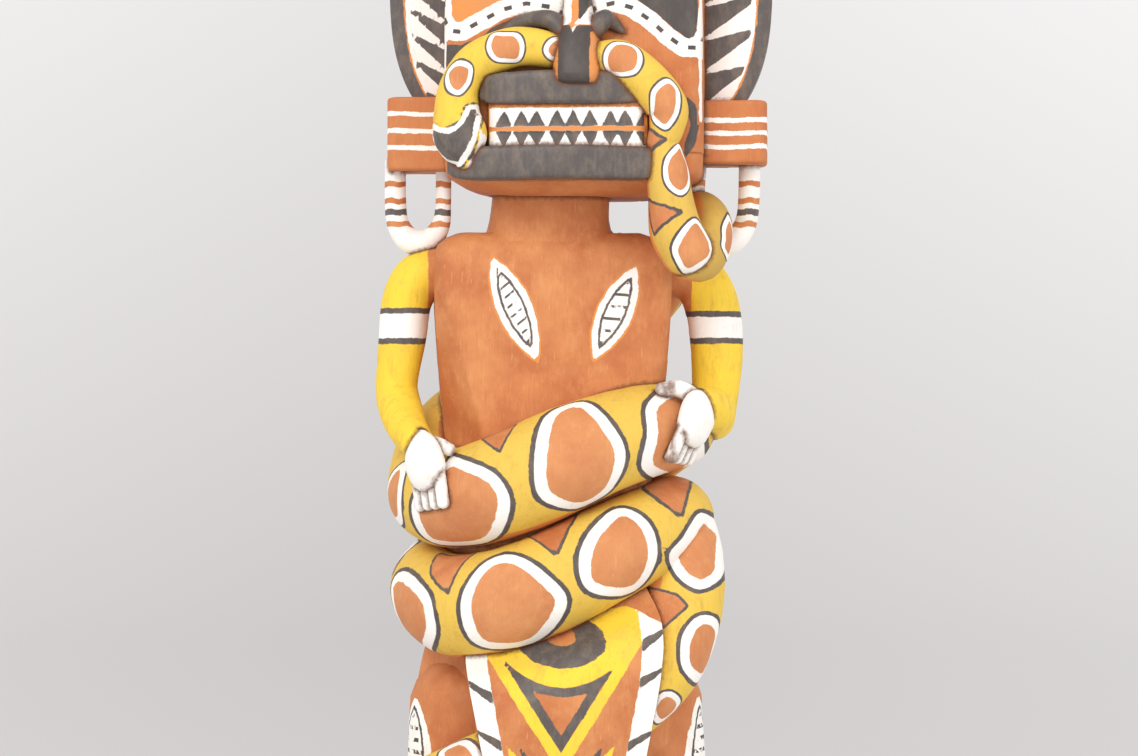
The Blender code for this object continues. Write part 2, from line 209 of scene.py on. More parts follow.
def panel(name, rows, across, paint, facet=0.25, onHead=False):
    # A thick carved board. Each row is (z, middle x, half width, front y at the middle, bow, thickness).
    share = np.linspace(-1, 1, across)
    backShare = np.linspace(1, -1, max(5, across // 3))
    rings = []
    for z, x, half, front, bow, thickness in rows:
        x, y = np.concatenate([x + half * share, x + half * backShare]), front + bow * share**2
        y = np.concatenate([y, front + bow * backShare**2 + thickness])
        rings.append(np.column_stack([x, y, np.full(len(x), z)]))
    addForm(name, rings, paint, facet, onHead=onHead)


# Paint: each form has a function that tells, for points on it, how far inside each painted area they are,
# in figure units. Everything that isn't covered stays red ochre.

nothing = {
    "yellow": -50, "white": -50, "black": -50, "spot": 50, "dart": -50, "framed": -50,
    "phase": 0, "across": 9, "duty": 0, "leaf": -50, "tint": -50, "tone": 0, "grime": 0,
}
fieldGroups = {
    "grounds": ("yellow", "white", "black"), "marks": ("spot", "dart", "framed"),
    "strokes": ("phase", "across", "duty"), "extras": ("leaf", "tint", "tone"),
    # wear: the bend brings chips on edges and painted shade in hollows, the crease brings painted shade with
    # dirt in the seams, and grime is dirt on the hands
    "wearAndShade": ("bend", "crease", "grime"),
}


def polygonDepth(u, v, corners):
    # How far inside a polygon each point is, and negative outside it
    corners = np.asarray(corners, float)
    nearest = np.full(len(u), 1e9)
    inside = np.zeros(len(u), bool)
    for (ax, ay), (bx, by) in zip(corners, np.roll(corners, -1, axis=0)):
        dx, dy = bx - ax, by - ay
        share = np.clip(((u - ax) * dx + (v - ay) * dy) / max(dx * dx + dy * dy, 1e-9), 0, 1)
        nearest = np.minimum(nearest, np.hypot(u - ax - share * dx, v - ay - share * dy))
        if ay != by:
            crosses = (ay > v) != (by > v)
            inside ^= crosses & (u < ax + (v - ay) * dx / dy)
    return np.where(inside, nearest, -nearest)


def pathDistance(u, v, places):
    # Distance from a path, with its side as the sign, and how far along the path its nearest point is
    places = np.asarray(places, float)
    nearest = np.full(len(u), 1e9)
    along, way = np.zeros(len(u)), np.ones(len(u))
    run = 0.0
    for (ax, ay), (bx, by) in zip(places, places[1:]):
        dx, dy = bx - ax, by - ay
        length = math.hypot(dx, dy)
        share = np.clip(((u - ax) * dx + (v - ay) * dy) / (length * length), 0, 1)
        distance = np.hypot(u - ax - share * dx, v - ay - share * dy)
        closer = distance < nearest
        along = np.where(closer, run + share * length, along)
        way = np.where(closer, np.where(dx * (v - ay) > dy * (u - ax), 1.0, -1.0), way)
        nearest = np.minimum(nearest, distance)
        run += length
    return nearest * way, along


def leafDepth(x, z, tipA, tipB, half):
    # A leaf between two tips, made of two arcs. It returns the depth inside it and the run from its middle.
    tipA, tipB = np.array(tipA, float), np.array(tipB, float)
    middle, axis = (tipA + tipB) / 2, tipB - tipA
    length = np.linalg.norm(axis) / 2
    axis = axis / (2 * length)
    run = (x - middle[0]) * axis[0] + (z - middle[1]) * axis[1]
    side = np.abs((x - middle[0]) * -axis[1] + (z - middle[1]) * axis[0])
    radius = (length**2 + half**2) / (2 * half)
    return radius - np.hypot(run, side + radius - half), run


# The body

torsoShape = {
    "leaves": [((-51.7, 676), (-17, 596)), ((58.6, 668.6), (25.9, 597))],
    "leafHalf": 13.2,
    "strokePitch": 8.6,
    "cornerTop": 650, "cornerFall": 110,  # the front corners are cut away more and more towards the waist
    "corners": ((-84, 26, 34), (88, 10, 16)),
}


def paintTorso(points, line):
    x, y, z = points.T
    leaf = np.full(len(x), -50.0)
    phase, duty = np.zeros(len(x)), np.zeros(len(x))
    for tipA, tipB in torsoShape["leaves"]:
        depth, run = leafDepth(x, z, tipA, tipB, torsoShape["leafHalf"])
        depth = np.where(y < 0, depth, -50)
        slant = 0.35 * (x - (tipA[0] + tipB[0]) / 2)
        phase = np.where(depth > leaf, (run + slant) / torsoShape["strokePitch"], phase)
        duty = np.where(depth > -2, 0.24, duty)
        leaf = np.maximum(leaf, depth)
    return {"leaf": leaf, "phase": phase, "across": np.where(leaf > 5.6, 0.0, 9.0), "duty": duty,
            "tint": leaf + 1.6}


def shapeTorso(points, normals):
    # Flat cuts along the two front corners
    points = points.copy()
    fall = np.clip((torsoShape["cornerTop"] - points[:, 2]) / torsoShape["cornerFall"], 0.001, 1)
    for cornerX, cutX, cutY in torsoShape["corners"]:
        inX = (points[:, 0] - cornerX) * -np.sign(cornerX)
        inY = points[:, 1] + 52
        perX, perY = 1 / (cutX * fall), 1 / (cutY * fall)
        short = np.clip(1 - inX * perX - inY * perY, 0, None) / (perX**2 + perY**2)
        points[:, 0] -= short * perX * np.sign(cornerX)
        points[:, 1] += short * perY
    return points


def makeBody():
    loft("torso", [
        (hipX, 2, 262, 98, 46, 3.0), (hipX, 2, 300, 111, 54, 3.0), (hipX, 2, 350, 108, 56, 3.0),
        (bodyX, 2, 410, 88, 58, 3.0), (bodyX, 0, 480, 78, 54, 4.0), (bodyX + 1, 0, 540, 83, 51, 6.0),
        (bodyX + 2, 0, 600, 89, 50, 8.0), (bodyX + 2, 0, 660, 92, 49, 8.0), (bodyX + 1, 0, 686, 88, 44, 5.5),
        (bodyX, 0, 695, 72, 34, 4.0),
    ], 4.6, 140, paintTorso, facet=0.75, frontShare=1.4, shape=shapeTorso)
    loft("neck", [
        (bodyX, 0, 670, 56, 43, 4.0), (bodyX, 0, 688, 55, 43, 4.0), (bodyX, 0, 695, 50, 41.5, 4.0),
        (bodyX, 0, 705, 46.5, 41, 4.0), (bodyX + 3, 0, 745, 45, 41, 4.0),
    ], 4, 64, paintRed, facet=0.7)


def paintRed(points, line):
    return {}


legShape = {
    "stations": [(67, 4, 330, 47), (72, -2, 290, 44), (75, -10, 240, 40), (75, -14, 190, 35),
                 (75, -3, 140, 36), (73, 3, 90, 31), (72, 4, 40, 26), (72, 4, 8, 27)],
    "leafTips": ((0, 338), (0, 226)),
    "leafHalf": 24, "leafFront": 14,
    "strokePitch": 9,
    "ankleBand": (58, 76),
}


def paintLeg(points, line):
    x, y, z = points.T
    side = np.sign(np.mean(x))
    middle = line["centres"][:, 0].mean()
    turned = np.where((x - middle) * side > 0, y + legShape["leafFront"], 200)
    depth, run = leafDepth(turned, z, *legShape["leafTips"], legShape["leafHalf"])
    low, high = legShape["ankleBand"]
    # Painted shade: tone 0.75 darkens the red and black paint of the legs, as the light falls off lower down
    return {"leaf": depth, "phase": run / legShape["strokePitch"], "duty": 0.36,
            "across": np.where(depth > 6.2, 0.0, 9.0), "framed": np.minimum(z - low, high - z),
            "tone": 0.75}


footShape = {
    "x": 72, "halfWidth": 27, "heelY": 36, "toeY": -88, "sink": 3,
    "rings": [(0, 0.7, 30), (0.12, 0.92, 38), (0.4, 0.95, 38), (0.7, 1.0, 27), (0.92, 1.0, 19), (1, 0.8, 13)],
    "toes": 5, "grooveDepth": 2.4, "grooveLength": 24, "grooveWidth": 0.13, "sides": 56,
}


def makeLeg(side):
    stations = [(hipX + side * x, y, z, radius) for x, y, z, radius in legShape["stations"]]
    tube(f"leg{side}", stations, 5, 54, paintLeg, facet=0.8)
    rows = spline([(share, 0, 0, width, height) for share, width, height in footShape["rings"]], 0.04)
    rings = []
    sides, toes, half = footShape["sides"], footShape["toes"], footShape["halfWidth"]
    for share, _, _, width, height in rows:
        ring = roundedBox(half * width, (height + footShape["sink"]) / 2, 3.5, sides)
        y = footShape["heelY"] + (footShape["toeY"] - footShape["heelY"]) * share
        z = ring[:, 1] + (height - footShape["sink"]) / 2
        # The toes are parted by grooves that run back from their tips
        toe = (ring[:, 0] / half + 1) / 2 * toes
        parted = np.exp(-(((toe + 0.5) % 1 - 0.5) / footShape["grooveWidth"]) ** 2)
        parted *= (toe > 0.6) & (toe < toes - 0.6) & (ring[:, 1] > 0)
        reach = np.clip(1 - (y - footShape["toeY"]) / footShape["grooveLength"], 0, 1)
        z = z - parted * footShape["grooveDepth"] * reach
        rings.append(np.column_stack([ring[:, 0] + hipX + side * footShape["x"], np.full(sides, y), z]))
    addForm(f"foot{side}", rings, paintRed, 0.4)


armShape = {
    "left": {
        "upper": [(-70, 0, 660, 19), (-90, 0, 665, 20), (-106, 0, 660, 20.5), (-116, 0, 643, 19.5),
                  (-120, 0, 612, 18.5), (-124, 0, 580, 16.5), (-123, -2, 564, 17)],
        "fore": [(-123, 3, 576, 15), (-122, -10, 562, 17), (-116, -36, 545, 15.5), (-108, -62, 533, 13)],
        "hand": [(-108, -62, 533, 14), (-105, -72, 524, 20), (-101, -78, 514, 20)],
        "thumb": [(-106, -66, 532, 6.5), (-95, -72, 533, 6), (-84, -74, 529, 5)],
        "grimeFrom": -96, "reach": (2, -2, -24), "yellowFrom": -100, "band": (611.5, 634.8),
    },
    "right": {
        "upper": [(60, 0, 660, 19), (88, 0, 666, 20), (108, 0, 661, 21), (120, 0, 644, 21.5),
                  (125, 0, 612, 21), (124.5, 0, 580, 19), (122, -2, 555, 18)],
        "fore": [(122, 5, 551, 17), (120, -10, 553, 18.5), (116, -36, 559, 18), (107, -62, 562, 14)],
        "hand": [(107, -62, 562, 14.5), (104, -70, 556, 20), (100, -74, 546, 19)],
        "thumb": [(104, -64, 568, 7), (90, -68, 575, 6.5), (76, -66, 574, 5.5)],
        "grimeFrom": 97, "reach": (-8, 3, -22), "yellowFrom": 104, "band": (611.8, 632.5),
    },
    "fingers": 4, "fingerPitch": 8.6, "fingerRadius": 4.9, "grimeReach": 14,
}


def makeArm(name):
    arm = armShape[name]

    def paintArm(points, line):
        x, y, z = points.T
        yellow = arm["yellowFrom"] - x if arm["yellowFrom"] < 0 else x - arm["yellowFrom"]
        low, high = arm["band"]
        band = np.minimum(z - low, high - z)
        return {"yellow": np.where(z < 600, 20, yellow), "framed": np.minimum(band, yellow + 6)}

    def paintFore(points, line):
        return {"yellow": 50.0}

    wrist = np.array(arm["hand"][0][:3], float)
    onward = np.array(arm["hand"][1][:3], float) - wrist
    onward /= np.linalg.norm(onward)

    def paintHand(points, line):
        inward = (arm["grimeFrom"] - points[:, 0]) * np.sign(arm["grimeFrom"])
        return {"framed": (points - wrist) @ onward + 3.5,
                "grime": np.clip(inward / armShape["grimeReach"], 0, 1)}

    tube(f"{name}UpperArm", arm["upper"], 4, 40, paintArm, facet=0.6)
    tube(f"{name}Forearm", arm["fore"], 4, 34, paintFore, facet=0.5)
    tube(f"{name}Hand", arm["hand"], 2.6, 36, paintHand, facet=0.25, flatness=0.6)
    knuckle = np.array(arm["hand"][-1][:3], float)
    reach = np.array(arm["reach"], float)
    outward = knuckle - [bodyX, 0, knuckle[2]]
    outward /= np.linalg.norm(outward)
    across = np.cross(reach, outward)
    across /= np.linalg.norm(across)
    radius = armShape["fingerRadius"]
    for i in range(armShape["fingers"]):
        start = knuckle + across * (i - 1.5) * armShape["fingerPitch"]
        bend = start + reach * 0.55 - outward
        tip = start + reach * 1.1 - outward * 2
        tube(f"{name}Finger{i}", [(*start, radius), (*bend, radius), (*tip, radius)], 2.2, 16, paintHand, 0.1)
    tube(f"{name}Thumb", arm["thumb"], 2.2, 18, paintHand, 0.1)


# The head, about its own middle

faceShape = {
    "bandHalf": 7.0, "dashPitch": 14.5, "dashShare": 0.42, "dashHalf": 1.65,
    "edgeX": 95.8, "edgeLine": (776, 872), "frontY": -58,
    "leftBand": [(1.9, 844), (-2.3, 856), (-15.6, 863), (-33.9, 866), (-52.1, 861.4), (-68.4, 853),
                 (-83.7, 844.8), (-93.1, 846.3), (-97.9, 856), (-98.7, 868), (-96, 894), (-76, 906),
                 (-42, 911), (-14, 900), (-5, 880), (-2, 862)],
    "rightBand": [(6.9, 846), (11, 856), (19.1, 863), (33.3, 866), (45.6, 862), (59.6, 852.4), (71.8, 841),
                  (84.2, 832), (96.5, 832), (101, 844), (103, 868), (98, 894), (78, 906), (44, 911),
                  (16, 900), (9, 880), (8, 862)],
    "leftShade": [(-104, 836), (-84, 835), (-70, 840), (-55, 851), (-32, 858), (-16, 855), (-7, 840),
                  (-13, 832), (-21, 847), (-36, 849), (-51, 843), (-64, 830), (-78, 812), (-86, 790),
                  (-104, 790)],
    "rightWing": [(6, 830), (12, 847), (22, 857), (35, 852), (42, 842), (30, 847), (21, 848), (15, 840),
                  (12, 827)],
    "crescent": [(83, 799), (93, 790), (97, 777), (93, 759), (85, 747), (85, 759), (90, 773), (86, 787)],
    "hairLine": 937,
}


def paintSkull(points, line):
    x, y, z = worldToHead(points).T
    front = y < faceShape["frontY"]
    leftBand, leftRun = pathDistance(x, z, faceShape["leftBand"])
    rightBand, rightRun = pathDistance(x, z, faceShape["rightBand"])
    nearLeft = np.abs(leftBand) < np.abs(rightBand)
    away = np.where(nearLeft, leftBand, rightBand)
    band = np.abs(away)
    run = np.where(nearLeft, leftRun, rightRun)
    insideLeft = polygonDepth(x, z, faceShape["leftBand"])
    insideRight = polygonDepth(x, z, faceShape["rightBand"])
    black = np.maximum.reduce([
        polygonDepth(x, z, faceShape["leftShade"]), polygonDepth(x, z, faceShape["rightWing"]),
        polygonDepth(x, z, faceShape["crescent"]), np.minimum(insideRight, band - faceShape["bandHalf"]),
    ])
    hair = z - faceShape["hairLine"]
    # The front edges of the face are lined with white: partly white paint, partly a painted highlight along
    # the lit edge
    low, high = faceShape["edgeLine"]
    edge = np.minimum.reduce([np.abs(x) - faceShape["edgeX"], -62 - y, z - low, high - z])
    return {
        "white": np.maximum(np.where(front, faceShape["bandHalf"] - band, -50), edge),
        "black": np.maximum(np.where(front & (edge < 0), black, -50), hair),
        "tint": np.where(front, insideLeft, -50),
        "framed": np.where(np.abs(hair + 5) < 12, 3.2 - np.abs(hair + 5), -50),
        "phase": run / faceShape["dashPitch"] + 0.3,
        "across": np.where(front, away / faceShape["dashHalf"], 9),
        "duty": np.where(front, faceShape["dashShare"], 0), "tone": 0.7,
    }


teethShape = {
    "first": -50, "pitch": 13.2, "count": 9, "half": 6.5, "sway": 1.2,
    "upper": (771.5, 785.5), "lower": (754.5, 767.8), "seam": 769.6,
    "tip": 1.5, "roundness": 0.95, "slope": 0.85,  # the gaps narrow to a rounded tip
    "recess": 1.2, "frontY": -88, "tintFrom": 752,
}


def teeth(x, z):
    # Depth inside the black gaps between the teeth, and inside the whole mouth
    place = (x - teethShape["first"]) / teethShape["pitch"]
    index = np.clip(np.round(place), 0, teethShape["count"] - 1)
    sway = teethShape["sway"] * np.sin(2.3 * index + 0.4)
    side = np.abs(x - teethShape["first"] - teethShape["pitch"] * index - sway)
    half, tip, slope = teethShape["half"], teethShape["tip"], teethShape["slope"]
    low, high = teethShape["upper"]
    rise = np.clip((z - low) / (high - tip - low), 0, 1)
    upper = np.minimum((half * (1 - rise) ** teethShape["roundness"] - side) * slope, z - low)
    low2, high2 = teethShape["lower"]
    fall = np.clip((high2 - z) / (high2 - low2 - tip), 0, 1)
    lower = np.minimum((half * (1 - fall) ** teethShape["roundness"] - side) * slope, high2 - z)
    gaps = np.where(z > teethShape["seam"], upper, lower)
    rows = np.maximum(np.minimum(z - low, high - z), np.minimum(z - low2, high2 - z))
    return gaps, rows


def paintMuzzle(points, line):
    x, y, z = worldToHead(points).T
    gaps, rows = teeth(x, z)
    front = y < teethShape["frontY"]
    return {"white": np.where(front, rows, -50), "black": np.where(front, np.minimum(gaps, rows), -50),
            "tint": np.where(z > teethShape["tintFrom"], 5.0, -50)}


def shapeMuzzle(points, normals):
    # The gaps between the teeth are cut back from the teeth
    x, y, z = worldToHead(points).T
    gaps, rows = teeth(x, z)
    cut = np.clip(np.minimum(gaps, rows) / 1.2 + 0.5, 0, 1) * (y < teethShape["frontY"])
    seam = np.clip(1 - np.abs(z - teethShape["seam"]) / 1.8, 0, 1) * (y < teethShape["frontY"])
    return points - normals * (teethShape["recess"] * np.maximum(cut, seam * 0.8))[:, None]


def paintBlack(points, line):
    return {"black": 50.0}


noseShape = {
    "apex": (3, 839), "open": 0.33, "bend": 849, "openAbove": 0.65, "bridge": 6.6, "bandLow": 847,
    "front": (-8.3, 15.5), "sideTop": 842,
}


def paintNose(points, line):
    # The two white bands come down to a V on the bridge, and the nose is black below it with orange sides
    x, y, z = worldToHead(points).T
    apexX, apexZ = noseShape["apex"]
    bend = noseShape["bend"]
    lowOpen = noseShape["open"] * (np.minimum(z, bend) - apexZ)
    left = apexX - lowOpen
    right = apexX + lowOpen + noseShape["openAbove"] * np.maximum(z - bend, 0)
    inside = np.minimum(x - left, right - x)
    below = noseShape["bandLow"] - z
    low, high = noseShape["front"]
    front = np.where(z < noseShape["sideTop"], np.minimum(x - low, high - x), 50)
    black = np.maximum(np.minimum(below, -inside), np.minimum(inside, x - noseShape["bridge"]))
    return {
        "white": np.maximum(np.minimum(-inside, -below), 0.9 - np.abs(inside - 0.9)),
        "black": np.minimum(black, front), "tint": 20.0, "tone": 0.85,
    }


eyeShape = {"pupil": 8.5, "pupilZ": 892, "pupilSquash": 1.1, "frontY": -72}


def paintEye(points, line):
    x, y, z = worldToHead(points).T
    rise = (z - eyeShape["pupilZ"]) * eyeShape["pupilSquash"]
    pupil = eyeShape["pupil"] - np.hypot(x - np.mean(x), rise)
    return {"white": 50.0, "black": np.where(y < eyeShape["frontY"], pupil, -50)}


crestShape = {
    "top": 1070, "halfThickness": 15, "middleY": 4, "middleZ": 952, "outerReach": 88, "innerReach": 48,
    "innerRise": 40, "stripePitch": 34, "stripeHalf": 5,
}


def paintCrest(points, line):
    x, y, z = worldToHead(points).T
    lean = np.arctan2(z - crestShape["middleZ"], -(y - crestShape["middleY"]))
    run = lean * 100 / crestShape["stripePitch"]
    return {"framed": crestShape["stripeHalf"] - np.abs((run % 1) - 0.5) * crestShape["stripePitch"]}


def makeCrest():
    rings = []
    for degrees in np.linspace(218, -38, 90):
        lean = math.radians(degrees)
        middle = np.array([crestShape["middleY"], crestShape["middleZ"]])
        rise = crestShape["top"] - crestShape["middleZ"]
        outer = middle + [-crestShape["outerReach"] * math.cos(lean), rise * math.sin(lean)]
        inner = middle + [-crestShape["innerReach"] * math.cos(lean),
                          crestShape["innerRise"] * math.sin(lean)]
        thick = crestShape["halfThickness"]
        side = []
        for share in np.linspace(0, 0.88, 9):
            side.append((thick, *(inner + (outer - inner) * share)))
        for width, share in ((0.97, 0.93), (0.86, 0.965), (0.66, 0.988), (0.4, 1.0), (0.13, 1.0)):
            side.append((thick * width, *(inner + (outer - inner) * share)))
        rings.append(side + [(-x, y, z) for x, y, z in reversed(side)])
    addForm("crest", rings, paintCrest, 0.35, onHead=True)


fanShape = {
    "middleX": 3, "middleZ": 900, "reach": 148, "below": 146, "above": 128, "frontY": -24, "thickness": 17,
    "rootX": 40, "rim": 10.5, "wedgeRoot": 99,
    # At each side: the lowest wedge's height at its root, the pitch, half a root's height and the slope
    "wedges": {-1: (806.6, 18.6, 7.6, 0.72), 1: (806.6, 25.5, 10.4, 0.48)},
}


def fanReach(z):
    middle = fanShape["middleZ"]
    share = (z - middle) / np.where(z < middle, fanShape["below"], fanShape["above"])
    return fanShape["reach"] * (1 - np.minimum(np.abs(share), 0.999) ** 3) ** (1 / 3)


def paintFan(points, line):
    x, y, z = worldToHead(points).T
    out = np.abs(x - fanShape["middleX"])
    rimDepth = fanReach(z) - out
    room = np.maximum(fanReach(z) - fanShape["wedgeRoot"] - fanShape["rim"], 8)
    run = out - fanShape["wedgeRoot"]
    wedgeBase, pitch, rootHalf, slope = fanShape["wedges"][-1 if np.mean(x) < 0 else 1]
    lift = (z - wedgeBase - slope * run) / pitch
    taper = 1.04 - run / room
    half = rootHalf * np.sign(taper) * np.minimum(np.abs(taper), 1.1) ** 0.75
    wedge = half - np.abs(lift - np.round(lift)) * pitch - 40 * np.maximum(run / room - 0.88, 0)
    rim = fanShape["rim"] - rimDepth
    front = y < fanShape["frontY"] + 2
    return {
        "white": np.where(front, rimDepth - fanShape["rim"] - 1.6, -50),
        "tint": np.where(front, 50, -50),
        "black": np.where(front, np.maximum(rim, wedge), np.where(y > -9, rim, 50)),
    }


def makeFan(side):
    rows = []
    for share in np.sin(np.linspace(-1, 1, 76) * math.radians(80)) / math.sin(math.radians(80)) * 0.985:
        z = fanShape["middleZ"] + share * (fanShape["below"] if share < 0 else fanShape["above"])
        reach = fanShape["reach"] * (1 - abs(share) ** 3) ** (1 / 3)
        root = fanShape["rootX"]
        rows.append((z, fanShape["middleX"] + side * (reach + root) / 2, (reach - root) / 2,
                     fanShape["frontY"], 0, fanShape["thickness"]))
    panel(f"fan{side}", rows, 34, paintFan, facet=0.3, onHead=True)


blockShape = {
    "z": 771, "y": -14, "halfDepth": 26, "innerX": 84, "stripeHalf": 1.8,
    "stripes": {-1: (786, 773, 760), 1: (780, 770, 759.5)},
}


def makeBlock(side, outerX, halfHeight):
    middle = side * (outerX + blockShape["innerX"]) / 2
    half = (outerX - blockShape["innerX"]) / 2

    def paintBlock(points, line):
        z = points[:, 2] + np.sin(points[:, 0] * 0.11) * 0.5
        stripes = [blockShape["stripeHalf"] - np.abs(z - place) for place in blockShape["stripes"][side]]
        return {"white": np.maximum.reduce(stripes), "tone": 0.78}

    rows = []
    rises = np.concatenate([[0, 0.8, 1.8, 3], np.linspace(3, 2 * halfHeight - 3, 42)[1:-1],
                            2 * halfHeight - np.array([3, 1.8, 0.8, 0])])
    for rise in rises:
        near = min(rise, 2 * halfHeight - rise, 3)
        inset = 3 - math.sqrt(max(0, 9 - (3 - near) ** 2))
        ring = roundedBox(half - inset, blockShape["halfDepth"] - inset, 7.0, 64)
        rows.append(np.column_stack([ring[:, 0] + middle, ring[:, 1] + blockShape["y"],
                                     np.full(64, blockShape["z"] - halfHeight + rise)]))
    addForm(f"block{side}", rows, paintBlock, 0.4, onHead=True)


pendantShape = {
    "redBands": (733, 720, 702), "blackBand": 711.3, "redHalf": 2.3, "blackHalf": 2.4,
    "left": (-1, -125, -88, 0, 0), "right": (1, 148, 108, -27, -12),
}


def paintPendant(points, line):
    z = points[:, 2] + np.sin(points[:, 0] * 0.5) * 0.6
    away = np.minimum.reduce([np.abs(z - place) for place in pendantShape["redBands"]])
    return {"white": away - pendantShape["redHalf"],
            "black": pendantShape["blackHalf"] - np.abs(z - pendantShape["blackBand"])}


def makePendant(name):
    side, outerX, innerX, topY, lowY = pendantShape[name]
    middleX, middleY = (outerX + innerX) / 2, (topY + lowY) / 2
    tube(f"{name}Pendant", [
        (outerX, topY, 750, 8.5), (outerX, middleY, 718, 8.5), (outerX - side * 2, lowY, 702, 9),
        ((outerX + middleX) / 2, lowY, 691, 10), (middleX, lowY, 688, 10.5),
        ((innerX + middleX) / 2, lowY, 691, 9.5), (innerX + side * 2, lowY, 702, 7.5),
        (innerX, middleY, 718, 6.2), (innerX, topY, 750, 6.5),
    ], 1.8, 18, paintPendant, facet=0.3)


def makeHead():
    loft("skull", [
        (0, -6, 722, 60, 50, 3.0), (0, -4, 728, 82, 65, 5.0), (0, -3, 734, 94, 73, 8.0),
        (0, -2, 739, 97.5, 74, 11.0), (0, -1, 752, 98.6, 75.5, 13.0), (0, 0, 770, 99, 76, 13.0),
        (0, 0, 920, 98, 76, 9.0), (0, 2, 960, 92, 72, 4.5), (0, 4, 992, 78, 64, 3.2),
        (0, 4, 1014, 56, 50, 2.6), (0, 4, 1024, 30, 30, 2.4),
    ], 3.2, 200, paintSkull, facet=0.35, onHead=True, frontShare=1.5)
    heights = [(734, 56, 24, 5.0), (744, 61, 38, 6.0), (750, 61, 38, 6.0)]
    heights += [(z, 61, 38, 6.0) for z in np.arange(752, 790, 1.15)]
    heights += [(796, 60, 38, 6.0), (806, 60, 38, 6.0), (812, 54, 28, 5.0)]
    loft("muzzle", [(-2, -60, z, a, b, p) for z, a, b, p in heights], 4, 150, paintMuzzle, facet=0.15,
         onHead=True, frontShare=3.2, shape=shapeMuzzle)
    for name, z, left, right, bow in (("upperLip", 800, -62, 54, 4), ("lowerLip", 744, -86, 63, 6)):
        tube(name, [
            (left, -86 + bow, z, 9), (left + 12, -89 + bow / 2, z, 12.5),
            ((left + right) / 2, -92, z + 1, 13), (right - 12, -89 + bow / 2, z, 12.5),
            (right, -86 + bow, z, 9),
        ], 3, 44, paintBlack, facet=0.5, onHead=True, power=6.0)
    loft("nose", [
        (6, -84, 803, 15, 24, 3.4), (5.5, -84, 809, 18.5, 28, 3.4), (5.5, -82, 832, 17.5, 24, 3.0),
        (5, -76, 862, 11, 18, 2.4), (3, -72, 892, 9, 13, 2.2), (3, -68, 914, 10, 10, 2.2),
    ], 2.6, 44, paintNose, facet=0.25, onHead=True)
    for side in (-1, 1):
        reach, tip = (60, 4) if side < 0 else (38, 2.5)
        tube(f"nostril{side}", [
            (5 + side * 10, -88, 842, 8), (5 + side * 20, -86, 852, 7.5),
            (4 + side * reach * 0.64, -79, 852, 6), (3 + side * reach, -73, 842, tip),
        ], 2.4, 18, paintBlack, facet=0.15, onHead=True)
        tube(f"eye{side}", [
            (2 + side * 26, -70, 888, 6), (2 + side * 46, -72, 893, 13), (2 + side * 68, -70, 889, 6),
        ], 2.2, 30, paintEye, facet=0.15, onHead=True)
        makeFan(side)
    tube("brow", [
        (-92, -64, 905, 8), (-46, -71, 925, 11), (2, -72, 917, 12), (50, -71, 925, 11), (92, -64, 905, 8),
    ], 3, 26, paintBlack, facet=0.3, onHead=True)
    makeCrest()
    makeBlock(-1, 146, 28.5)
    makeBlock(1, 147, 24.5)
    makePendant("left")
    makePendant("right")


# The snake. Its spots and darts are placed by their pixel in the photograph, and laid on its skin.

